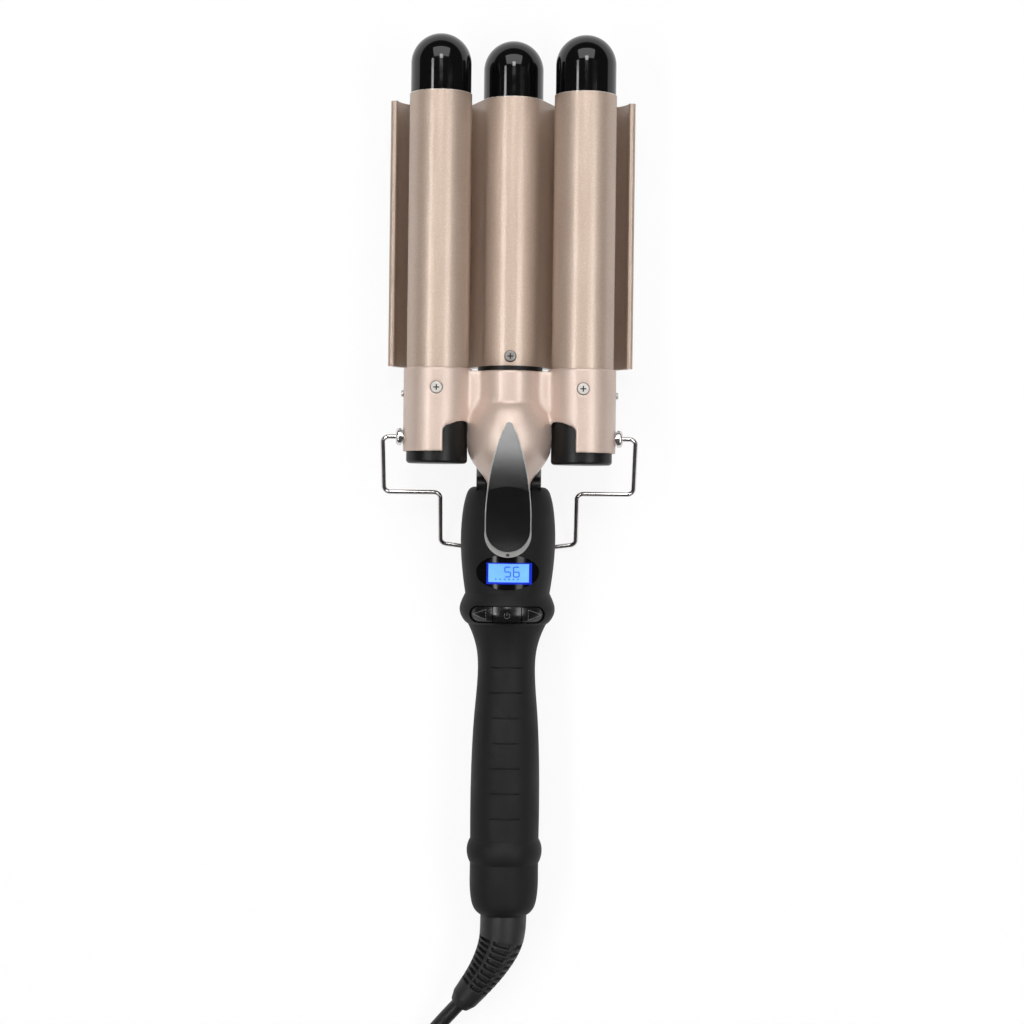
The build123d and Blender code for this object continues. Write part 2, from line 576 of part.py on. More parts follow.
def wire_groove():
    """The room for the folded bail's bar in the handle's back, open the way it swings out."""
    middle = Vector(*stand_point(0, STAND_REACH))
    end = Vector(*stand_point(STAND_INNER_X, STAND_CORNER))
    slope = (end - middle) * (GROOVE_PAD[0] / STAND_INNER_X)
    way = Vector(0, -(middle.Z - FRONT_Z), middle.Y - STAND_Y).normalized()
    room = []
    for step in (0, 1, 2, 3):
        start = middle + way * (step * WIRE_R)
        for side in (1, -1):
            far = start + Vector(side * slope.X, slope.Y, slope.Z)
            room.append(Plane(origin=start, z_dir=far - start) * Pos(0, 0, slope.length / 2)
                        * Cylinder(WIRE_R + FREE, slope.length + WIRE_R))
    return room


# ------------------------------------------------------------------ handle
def lens_prism(grow):
    """The display window's oval, run up through the handle."""
    oval = Ellipse(LENS_HALF[0] + grow, LENS_HALF[1] + grow)
    return Pos(0, LENS_Y, AXIS_Z) * extrude(oval, NECK_R * 2)


def button_prism(grow):
    """The button field's oblong, run up through the bulge."""
    field = SlotOverall(BUTTON_FIELD[0] + 2 * grow, BUTTON_FIELD[1] + 2 * grow)
    return Pos(0, BUTTON_Y, BUTTON_FOOT) * extrude(field, NECK_R * 2)


def handle_boss(y):
    """A screw boss on the middle line, from wall to wall."""
    return rod_z(BOSS_R, 0, y, 0, 2 * AXIS_Z)


def board_posts():
    """The four posts that carry the circuit board."""
    return [rod_z(POST_R, x, y, 0, BOARD_Z - BOARD_T - FIT) for x, y in POSTS]


def make_handle():
    outlines = [SHOULDER, BULGE, GRIP, RING]
    outer = turned(outlines)
    inner = turned(outlines, HANDLE_WALL)
    inner &= block(-AXIS_Z * 2, AXIS_Z * 2, SEAM_Y - 1, HANDLE_Y1 - HANDLE_WALL, 0, 3 * AXIS_Z)
    shell = outer - inner
    shell -= rod_y(NECK_TAIL_R + FIT, NECK_TAIL_Y, 0)
    front_half = block(-AXIS_Z * 2, AXIS_Z * 2, SEAM_Y, 0, AXIS_Z, 3 * AXIS_Z)
    rear_half = block(-AXIS_Z * 2, AXIS_Z * 2, SEAM_Y, 0, -AXIS_Z, AXIS_Z)
    front, rear = shell & front_half, shell & rear_half
    for y in HANDLE_SCREW_Y:
        front += handle_boss(y) & outer & front_half
        rear += handle_boss(y) & outer & rear_half
        front -= rod_z(HANDLE_SCREW[2] + FIT, 0, y, AXIS_Z, AXIS_Z + BOSS_R * 2)
        rear -= rod_z(HANDLE_SCREW[2] + FIT, 0, y, -AXIS_Z, AXIS_Z)
        rear -= rod_z(HANDLE_SCREW[0] + FIT, 0, y, -AXIS_Z, screw_seat(y))
    for post in board_posts():
        rear += post & outer
    for x, y in POSTS:
        rear -= rod_z(SMALL_SCREW[2] + FIT, x, y, BOARD_Z - SMALL_SCREW[3] - 1, BOARD_Z)
    half_x, half_y, top = GROOVE_PAD
    wire_y = stand_point(0, STAND_REACH)[1]
    rear += block(-half_x, half_x, wire_y - half_y, wire_y + half_y, 0, top) & outer
    rear -= wire_groove()
    ear = ear_shape(FIT)
    front -= [ear, mirrored(ear), rod_x(SADDLE_R, -SADDLE_X, SADDLE_X)]
    front -= [lens_prism(FIT), button_prism(0)] + grip_grooves()
    nodes["handle_front_shell"] = front
    nodes["handle_rear_shell"] = rear
    lens = turned([SHOULDER]) - turned([SHOULDER], LENS_T)
    nodes["display_lens"] = lens & lens_prism(0)
    make_buttons()
    place = {y: Pos(0, y, screw_seat(y)) * Rot(180, 0, 0) for y in HANDLE_SCREW_Y}
    nodes["handle_screws"] = Compound([at * screw(*HANDLE_SCREW) for at in place.values()])


def grip_grooves():
    """Rings that cut the grip's front grooves and pass above its sides."""
    places = [GROOVE_Y1 - step * GROOVE_PITCH for step in range(GROOVES)]
    return [Pos(0, y, AXIS_Z + GROOVE_LIFT) * Rot(90, 0, 0)
            * Torus(outline_radius(y) - GROOVE_LIFT, GROOVE_R) for y in places]


def outline_radius(y):
    """The handle's radius at y, between the outline's points."""
    points = [p for part in (SHOULDER, BULGE, GRIP, RING) for p in part]
    for (y1, r1), (y0, r0) in zip(points, points[1:]):
        if y0 <= y <= y1 and y0 < y1:
            return r0 + (r1 - r0) * (y - y0) / (y1 - y0)
    raise ValueError(f"no outline at {y}")


def screw_seat(y):
    """Height of a handle screw's seat in the rear shell."""
    return max(BACK_Z, AXIS_Z - outline_radius(y)) + 2 * HANDLE_SCREW[1]


def make_buttons():
    """Three keys in the field; their tops follow the bulge."""
    skin = turned([BULGE], BUTTON_SINK) & button_prism(-BUTTON_GAP)
    edge = BUTTON_FIELD[0] / 2
    gap = BUTTON_GAP / 2
    y0, y1, top = BUTTON_Y - edge, BUTTON_Y + edge, 3 * AXIS_Z
    spans = {"minus_button": (-edge, -BUTTON_SPLIT - gap), "plus_button": (BUTTON_SPLIT + gap, edge),
             "power_button": (-BUTTON_SPLIT + gap, BUTTON_SPLIT - gap)}
    for name, (x0, x1) in spans.items():
        nodes[name] = skin & block(x0, x1, y0, y1, BUTTON_FOOT, top)


# ------------------------------------------------------------------ electronics
def make_electronics():
    board = block(-BOARD_HALF_X, BOARD_HALF_X, *BOARD_Y, BOARD_Z - BOARD_T, BOARD_Z)
    screws = []
    for x, y in POSTS:
        board -= rod_z(SMALL_SCREW[2] + FIT, x, y, 0, BOARD_Z)
        screws.append(Pos(x, y, BOARD_Z) * screw(*SMALL_SCREW))
    nodes["circuit_board"] = board
    nodes["board_screws"] = Compound(screws)
    half_x, half_y = MODULE_SIZE[0] / 2, MODULE_SIZE[1] / 2
    corner = sqrt((outline_radius(LENS_Y - half_y) - LENS_T) ** 2 - (half_x + MODULE_X) ** 2)
    top = AXIS_Z + corner - FREE
    module = (MODULE_X - half_x, MODULE_X + half_x, LENS_Y - half_y, LENS_Y + half_y)
    nodes["display_module"] = block(*module, top - MODULE_SIZE[2], top)
    nodes["display_backlight"] = block(*module, BOARD_Z, top - MODULE_SIZE[2])
    key_x = (BUTTON_FIELD[0] / 2 + BUTTON_SPLIT) / 2 - SWITCH_HALF
    side, top = 2 * SWITCH_HALF, BUTTON_FOOT - BUTTON_TRAVEL - FIT
    switch = block(-side / 2, side / 2, BUTTON_Y - side / 2, BUTTON_Y + side / 2, BOARD_Z, top)
    nodes["button_switches"] = Compound([Pos(x, 0, 0) * switch for x in (-key_x, 0, key_x)])
    under = BOARD_Z - BOARD_T
    relay_x, relay_y, relay_z = RELAY_SIZE
    nodes["relay"] = block(-relay_x / 2, relay_x / 2, RELAY_Y, RELAY_Y + relay_y, under - relay_z, under)
    nodes["capacitor"] = rod_z(CAPACITOR[0], 0, CAPACITOR_Y, under - CAPACITOR[1], under)


# ------------------------------------------------------------------ swivel, boot, cord and plug
def make_tail():
    cap = turned([TAIL])
    cavity = turned([TAIL], HANDLE_WALL)
    cavity &= block(-AXIS_Z, AXIS_Z, TAIL_Y0 + TAIL_WALL, SEAM_Y + 1, 0, 2 * AXIS_Z)
    lip = [(SEAM_Y + TAIL_SPIGOT, SEAM_R), (SEAM_Y, SEAM_R)]
    spigot = turned([lip], HANDLE_WALL + FIT) - turned([lip], 2 * HANDLE_WALL)
    root = [(SEAM_Y, SEAM_R), (SEAM_Y - TAIL_WALL, SEAM_R)]
    spigot += turned([root], HANDLE_WALL / 2) - turned([root], 2 * HANDLE_WALL)
    cap = cap - cavity + spigot
    cap -= rod_y(SWIVEL_R + RUN, TAIL_Y0 - 1, TAIL_Y0 + TAIL_WALL + 1)
    nodes["tail_cap"] = cap


def boot_planes():
    """The boot's sections: where each stands and which way it faces."""
    points = [Vector(*p) for p, _ in BOOT_LINE]
    ways = [points[1] - points[0]]
    for a, b, c in zip(points, points[1:], points[2:]):
        ways.append((b - a).normalized() + (c - b).normalized())
    ways.append(Vector(*CORD_ROUTE[1]) - Vector(*CORD_ROUTE[0]))
    return [Plane(origin=p, z_dir=way) for p, way in zip(points, ways)]


def make_boot():
    radii = [r for _, r in BOOT_LINE]
    boot = loft([plane * Circle(r) for plane, r in zip(boot_planes(), radii)])
    nodes["cord_boot"] = boot - rod_y(SWIVEL_R + FIT, BOOT_Y1 - BOOT_SEAT, BOOT_Y1 + 1)
    core = rod_y(SWIVEL_R, BOOT_Y1 - BOOT_SEAT + FIT, SWIVEL_Y1)
    flange_y1 = TAIL_Y0 + TAIL_WALL + FIT + SWIVEL_FLANGE_T
    core += rod_y(SWIVEL_FLANGE_R, TAIL_Y0 + TAIL_WALL + FIT, flange_y1)
    core -= rod_y(SWIVEL_R - NECK_WALL, BOOT_Y1 - BOOT_SEAT, SWIVEL_Y1)
    nodes["swivel_core"] = core
    rings, brushes = [], []
    for y in RING_Y:
        ring = rod_y(SWIVEL_R + RING_T, y - RING_T / 2, y + RING_T / 2)
        rings.append(ring - rod_y(SWIVEL_R + FIT / 2, y - RING_T, y + RING_T))
        low = AXIS_Z + SWIVEL_R + RING_T + FIT
        wall = AXIS_Z + SEAM_R - HANDLE_WALL - RING_T
        brushes.append(block(-RING_T, RING_T, y - RING_T / 2, y + RING_T / 2, low, wall))
    nodes["slip_rings"] = Compound(rings)
    nodes["ring_brushes"] = Compound(brushes)


def cord_radii(route):
    """Bend radius at each inner point: as large as the two runs beside it allow."""
    points = [Vector(*p) for p in route]
    runs = [b - a for a, b in zip(points, points[1:])]
    radii = []
    for before, after in zip(runs, runs[1:]):
        shorter = min(before.length, after.length)
        radii.append(0.45 * shorter / tan(radians(before.get_angle(after)) / 2))
    return radii


def cord_tube(name, route):
    """A cord's tube along its route; prints its bends and how well its volume fits."""
    radii = cord_radii(route)
    path = FilletPolyline(*route, radius=radii)
    tube = swept(path, CORD_R)
    share = tube.volume / (pi * CORD_R ** 2 * path.length)
    bends = ", ".join(f"{r:.0f}" for r in radii)
    print(f"{name}: length {path.length:.1f}, bend radii {bends}, volume share {share:.4f}")
    return tube, path.length


def coil_size():
    """The coil's inner and outer radius and its height."""
    half = COIL_RINGS * CORD_R
    return COIL_MEAN_R - half, COIL_MEAN_R + half, CORD_R * (2 + sqrt(3))


def tail_route():
    """From the coil's top turn up to the plug that lies on it."""
    upper_r = COIL_MEAN_R + (COIL_RINGS - 2) * CORD_R
    low_z = TIE_LIFT + CORD_R * (1 + sqrt(3))
    high_z = TIE_LIFT + coil_size()[2] + FIT + PLUG_SIZE[2] / 2
    last = PLUG_ANGLE - PLUG_BACK
    steps = [(last - 80, upper_r, low_z), (last - 54, upper_r - 0.5, low_z + 1.5),
             (last - 27, upper_r - 2.0, high_z - 2.2), (last, COIL_MEAN_R + CORD_R, high_z)]
    return [on_coil(angle, radius, z) for angle, radius, z in steps]


def on_coil(angle, radius, z):
    """A point at an angle and a radius about the coil's centre."""
    return (radius * cos(radians(angle)), COIL_CENTRE_Y + radius * sin(radians(angle)), z)


def make_cord():
    lead, lead_length = cord_tube("lead", CORD_ROUTE)
    tail, tail_length = cord_tube("tail", tail_route())
    nodes["power_cord"] = Compound([lead, tail])
    inner, outer, height = coil_size()
    z0, z1 = TIE_LIFT, TIE_LIFT + height
    ring = rod_z(outer, 0, COIL_CENTRE_Y, z0, z1) - rod_z(inner, 0, COIL_CENTRE_Y, z0, z1)
    nodes["cord_coil"] = ring
    coiled = 2 * pi * COIL_MEAN_R * COIL_TURNS
    print(f"cord: {lead_length:.0f} lead + {coiled:.0f} coiled + {tail_length:.0f} tail mm")
    half = TIE_LENGTH / 2
    x0, x1 = sqrt(inner ** 2 - half ** 2) - FIT, outer + FIT
    band = block(x0 - TIE_T, x1 + TIE_T, -half, half, 0, z1 + TIE_T + FIT)
    band -= block(x0, x1, -TIE_LENGTH, TIE_LENGTH, TIE_T, z1 + FIT)
    nodes["coil_tie"] = Pos(0, COIL_CENTRE_Y, 0) * Rot(0, 0, 40) * band


def make_plug():
    route = [Vector(*p) for p in tail_route()]
    way = route[-1] - route[-2]
    way = Vector(way.X, way.Y, 0).normalized()
    long, wide, high = PLUG_SIZE
    body = Pos(PLUG_RELIEF + long / 2, 0, 0) * Box(long, wide, high)
    body = fillet(body.edges(), high / 5)
    cone = Cone(CORD_R * 1.1, CORD_R * 1.6, PLUG_RELIEF)
    relief = Pos(PLUG_RELIEF / 2 + FREE + FIT, 0, 0) * Rot(0, 90, 0) * cone
    place = Location(Plane(origin=route[-1], x_dir=way, z_dir=(0, 0, 1)))
    nodes["power_plug"] = place * (body + relief)
    blade_l, blade_t, blade_w = BLADE_SIZE
    start = PLUG_RELIEF + long + FIT
    blade = Pos(start + blade_l / 2, 0, 0) * Box(blade_l, blade_t, blade_w)
    blades = [Pos(0, side * BLADE_PITCH / 2, 0) * blade for side in (-1, 1)]
    nodes["plug_blades"] = Compound([place * blade for blade in blades])


# ------------------------------------------------------------------ build and write
make_rear_plate()
make_barrels()
make_front_housing()
make_end_caps()
make_lever()
make_neck()
make_hinge()
make_spring()
make_stand()
make_handle()
make_electronics()
make_tail()
make_boot()
make_cord()
make_plug()

tip_y = BARREL_Y1 + CAP_STRAIGHT + CAP_R
boot_y = nodes["cord_boot"].bounding_box().min.Y
shift = -(tip_y + boot_y) / 2
os.makedirs("parts", exist_ok=True)
for name, shape in nodes.items():
    export_step(Pos(0, shift, 0) * shape, f"parts/{name}.step")

print(f"shift along Y {shift:.4f}")
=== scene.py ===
"""Three-barrel hair waver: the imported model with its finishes, fine parts, cord and studio."""

import json
import logging
from dataclasses import dataclass
from enum import Enum
from math import cos, radians, sin, sqrt, tau

import bmesh
import bpy
import numpy as np
from mathutils import Matrix, Vector
from mathutils.bvhtree import BVHTree

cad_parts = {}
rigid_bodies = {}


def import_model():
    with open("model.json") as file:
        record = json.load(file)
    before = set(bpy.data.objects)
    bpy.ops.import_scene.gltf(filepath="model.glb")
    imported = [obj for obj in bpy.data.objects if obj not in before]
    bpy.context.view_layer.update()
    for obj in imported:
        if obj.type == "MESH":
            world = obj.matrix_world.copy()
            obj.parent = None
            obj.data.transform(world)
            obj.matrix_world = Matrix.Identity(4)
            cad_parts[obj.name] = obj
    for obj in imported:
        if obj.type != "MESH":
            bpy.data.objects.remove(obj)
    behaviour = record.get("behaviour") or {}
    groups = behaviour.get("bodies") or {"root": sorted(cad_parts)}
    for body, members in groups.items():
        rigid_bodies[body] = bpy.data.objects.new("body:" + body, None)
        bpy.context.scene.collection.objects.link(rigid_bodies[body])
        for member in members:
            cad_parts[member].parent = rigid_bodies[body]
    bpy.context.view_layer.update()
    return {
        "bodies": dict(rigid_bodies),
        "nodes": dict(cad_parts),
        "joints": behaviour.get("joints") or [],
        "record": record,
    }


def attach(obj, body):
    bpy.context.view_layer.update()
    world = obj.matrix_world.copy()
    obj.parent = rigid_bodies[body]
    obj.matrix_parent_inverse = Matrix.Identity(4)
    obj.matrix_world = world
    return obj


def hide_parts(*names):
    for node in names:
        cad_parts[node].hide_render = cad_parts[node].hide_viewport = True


log = logging.getLogger("hair_waver")

Tree = bpy.types.NodeTree
Socket = bpy.types.NodeSocket
Piece = bpy.types.Object
Spot = tuple[float, float]
Place = tuple[float, float, float]
Outline = list[Spot]

MM = 0.001
"""One millimetre in metres."""

PER_METRE = 1000
"""Millimetres in a metre, for a pattern's scale."""

HINGE_SHIFT = 16.6848
"""How far the clamp's hinge lies along Y from the middle of the object, in millimetres."""


def from_hinge(x: float, y: float, z: float) -> Vector:
    """A place measured from the clamp's hinge.

    Args:
        x: Millimetres to the right of the middle plane.
        y: Millimetres from the hinge towards the barrel tips.
        z: Millimetres above the table.

    Returns:
        The place in metres, in the shared frame.
    """
    return Vector((x, y + HINGE_SHIFT, z)) * MM


def linear(code: str) -> tuple[float, float, float, float]:
    """Turn a written sRGB colour into the linear colour that a shader takes.

    Args:
        code: Six hexadecimal digits.

    Returns:
        Linear red, green, blue and an alpha of one.
    """
    parts = [int(code[i : i + 2], 16) / 255 for i in (0, 2, 4)]
    red, green, blue = (
        c / 12.92 if c <= 0.04045 else ((c + 0.055) / 1.055) ** 2.4 for c in parts
    )
    return red, green, blue, 1.0


def add_node(
    tree: Tree,
    kind: str,
    inputs: dict[str | int, object] | None = None,
    **attributes: object,
) -> bpy.types.Node:
    """Add a node to a tree and set it up.

    Args:
        tree: The shader or geometry tree.
        kind: The node's type name.
        inputs: By name or place, the socket that feeds an input, or its value.
        **attributes: Settings of the node itself.

    Returns:
        The new node.
    """
    node = tree.nodes.new(kind)
    for name, value in attributes.items():
        setattr(node, name, value)
    for key, value in (inputs or {}).items():
        if isinstance(value, Socket):
            tree.links.new(value, node.inputs[key])
        else:
            node.inputs[key].default_value = value
    return node


# ------------------------------------------------------------------ finishes
@dataclass(frozen=True)
class Finish:
    """A moulded, turned or painted surface with clouds of tone and a fine grain.

    Attributes:
        name: The material's name.
        colour: The sRGB code of its lighter tone.
        shade: The sRGB code of its darker tone.
        roughness: The middle value.
        swing: How far the roughness drifts to both sides.
        cloud_mm: The size of the clouds of tone, on the real surface.
        grain_mm: The size of the grain. Most real grains are finer, about 0.1 mm, and are
            drawn this coarse so that they show.
        bump_mm: The height of the grain.
        metallic: The share of the surface that mirrors as metal does.
        specular: The strength of the mirror of what isn't metal.
        coat: The weight of a clear coat.
        coat_roughness: The clear coat's roughness.
        edge: The sRGB code of the tint towards a metal's rim.
    """

    name: str
    colour: str
    shade: str
    roughness: float = 0.5
    swing: float = 0.08
    cloud_mm: float = 14.0
    grain_mm: float = 0.5
    bump_mm: float = 0.006
    metallic: float = 0.0
    specular: float = 0.5
    coat: float = 0.0
    coat_roughness: float = 0.1
    edge: str = "ffffff"

    CLOUD_DETAIL = 4.0
    SMEAR_DETAIL = 5.0
    GRAIN_DETAIL = 2.0
    SMEARS_PER_CLOUD = 1.7
    # Nearly all of a noise's values lie between these.
    NOISE_SPAN = (0.3, 0.7)

    def build(self) -> bpy.types.Material:
        """Make the material from its tone, polish and relief.

        Returns:
            The new material.
        """
        material = bpy.data.materials.new(self.name)
        material.use_nodes = True
        tree = material.node_tree
        tree.nodes.clear()
        place = add_node(tree, "ShaderNodeTexCoord").outputs["Object"]
        shader = add_node(
            tree, "ShaderNodeBsdfPrincipled",
            {"Base Color": self.tone(tree, place),
             "Roughness": self.polish(tree, place),
             "Normal": self.relief(tree, place),
             "Metallic": self.metallic,
             "Specular IOR Level": self.specular,
             "Specular Tint": linear(self.edge),
             "Coat Weight": self.coat,
             "Coat Roughness": self.coat_roughness},
        )
        self.light(tree, shader)
        add_node(tree, "ShaderNodeOutputMaterial", {"Surface": shader.outputs["BSDF"]})
        material.diffuse_color = linear(self.colour)
        return material

    def tone(self, tree: Tree, place: Socket) -> Socket:
        """Drift between the colour and its darker shade in soft clouds.

        Args:
            tree: The material's tree.
            place: The place on the piece.

        Returns:
            The colour.
        """
        cloud = add_node(
            tree, "ShaderNodeTexNoise",
            {"Vector": place, "Scale": PER_METRE / self.cloud_mm,
             "Detail": self.CLOUD_DETAIL},
        )
        return add_node(
            tree, "ShaderNodeMix",
            {0: cloud.outputs["Fac"], 6: linear(self.shade), 7: linear(self.colour)},
            data_type="RGBA",
        ).outputs[2]

    def polish(self, tree: Tree, place: Socket) -> Socket:
        """Let the roughness drift to both sides of its middle value.

        Args:
            tree: The material's tree.
            place: The place on the piece.

        Returns:
            The roughness.
        """
        smear = add_node(
            tree, "ShaderNodeTexNoise",
            {"Vector": place,
             "Scale": self.SMEARS_PER_CLOUD * PER_METRE / self.cloud_mm,
             "Detail": self.SMEAR_DETAIL},
        )
        low, high = self.NOISE_SPAN
        return add_node(
            tree, "ShaderNodeMapRange",
            {"Value": smear.outputs["Fac"], "From Min": low, "From Max": high,
             "To Min": self.roughness - self.swing,
             "To Max": self.roughness + self.swing},
        ).outputs["Result"]

    def relief(self, tree: Tree, place: Socket) -> Socket:
        """Raise a fine moulded grain.

        Args:
            tree: The material's tree.
            place: The place on the piece.

        Returns:
            The bent normal.
        """
        grain = add_node(
            tree, "ShaderNodeTexNoise",
            {"Vector": place, "Scale": PER_METRE / self.grain_mm,
             "Detail": self.GRAIN_DETAIL},
        )
        return add_node(
            tree, "ShaderNodeBump",
            {"Height": grain.outputs["Fac"], "Strength": 1.0,
             "Distance": self.bump_mm * MM},
        ).outputs["Normal"]

    def light(self, tree: Tree, shader: bpy.types.Node) -> None:
        """Leave the surface unlit from within."""


@dataclass(frozen=True)
class FlakeCoating(Finish):
    """A satin metallic coating with fine flakes and faint streaks along the barrels.

    Attributes:
        flake_mm: The size of a flake, drawn coarser than the real one so that it shows.
        flake_light: The sRGB code of a flake that catches the light.
        flake_share: How far a flake hides the base.
        streak_mm: The width of a streak.
        streak_share: How far a streak darkens the base.
    """

    flake_mm: float = 0.36
    flake_light: str = "f4e6dc"
    flake_share: float = 0.16
    streak_mm: float = 1.1
    streak_share: float = 0.25

    # A streak is 25 times as long along the barrels as it is wide.
    STREAK_STRETCH = (1.0, 0.04, 1.0)
    STREAK_DETAIL = 3.0
    STREAK_SPAN = (0.35, 0.7)
    FLAKE_SPAN = (0.55, 0.95)

    def tone(self, tree: Tree, place: Socket) -> Socket:
        """Scatter long streaks and light flakes over the clouded base.

        Args:
            tree: The material's tree.
            place: The place on the piece.

        Returns:
            The colour.
        """
        long_way = add_node(
            tree, "ShaderNodeMapping",
            {"Vector": place, "Scale": self.STREAK_STRETCH},
        )
        streak = add_node(
            tree, "ShaderNodeTexNoise",
            {"Vector": long_way.outputs["Vector"],
             "Scale": PER_METRE / self.streak_mm, "Detail": self.STREAK_DETAIL},
        )
        flake = add_node(
            tree, "ShaderNodeTexVoronoi",
            {"Vector": place, "Scale": PER_METRE / self.flake_mm, "Randomness": 1.0},
        )
        colour = super().tone(tree, place)
        layers = (
            (streak.outputs["Fac"], self.STREAK_SPAN, self.streak_share, self.shade),
            (flake.outputs["Color"], self.FLAKE_SPAN, self.flake_share,
             self.flake_light),
        )
        for value, (low, high), share, code in layers:
            level = add_node(
                tree, "ShaderNodeMapRange",
                {"Value": value, "From Min": low, "From Max": high, "To Min": 0.0,
                 "To Max": share},
            )
            colour = add_node(
                tree, "ShaderNodeMix",
                {0: level.outputs["Result"], 6: colour, 7: linear(code)},
                data_type="RGBA",
            ).outputs[2]
        return colour


@dataclass(frozen=True)
class LitGlass(Finish):
    """A back-lit liquid-crystal surface that glows a little unevenly.

    Attributes:
        glow: The strength of its light.
    """

    glow: float = 1.0

    def light(self, tree: Tree, shader: bpy.types.Node) -> None:
        """Feed the clouded colour to the emission as well.

        Args:
            tree: The material's tree.
            shader: The node that the colour feeds.
        """
        source = shader.inputs["Base Color"].links[0].from_socket
        tree.links.new(source, shader.inputs["Emission Color"])
        shader.inputs["Emission Strength"].default_value = self.glow


@dataclass(frozen=True)
class Laminate(Finish):
    """Circuit board under its solder mask, with the copper tracks showing through.

    Attributes:
        track: The sRGB code of a track under the mask.
        track_mm: The size of the net of tracks.
    """

    track: str = "2f7a45"
    track_mm: float = 1.6

    TRACK_WIDTH = 0.12
    TRACK_CELL = (1.7, 0.9)

    def tone(self, tree: Tree, place: Socket) -> Socket:
        """Lay a net of lighter tracks over the clouded mask.

        Args:
            tree: The material's tree.
            place: The place on the piece.

        Returns:
            The colour.
        """
        base = super().tone(tree, place)
        net = add_node(
            tree, "ShaderNodeTexBrick",
            {"Vector": place, "Scale": PER_METRE / self.track_mm,
             "Mortar Size": self.TRACK_WIDTH, "Brick Width": self.TRACK_CELL[0],
             "Row Height": self.TRACK_CELL[1]},
        )
        return add_node(
            tree, "ShaderNodeMix",
            {0: net.outputs["Fac"], 6: base, 7: linear(self.track)},
            data_type="RGBA",
        ).outputs[2]


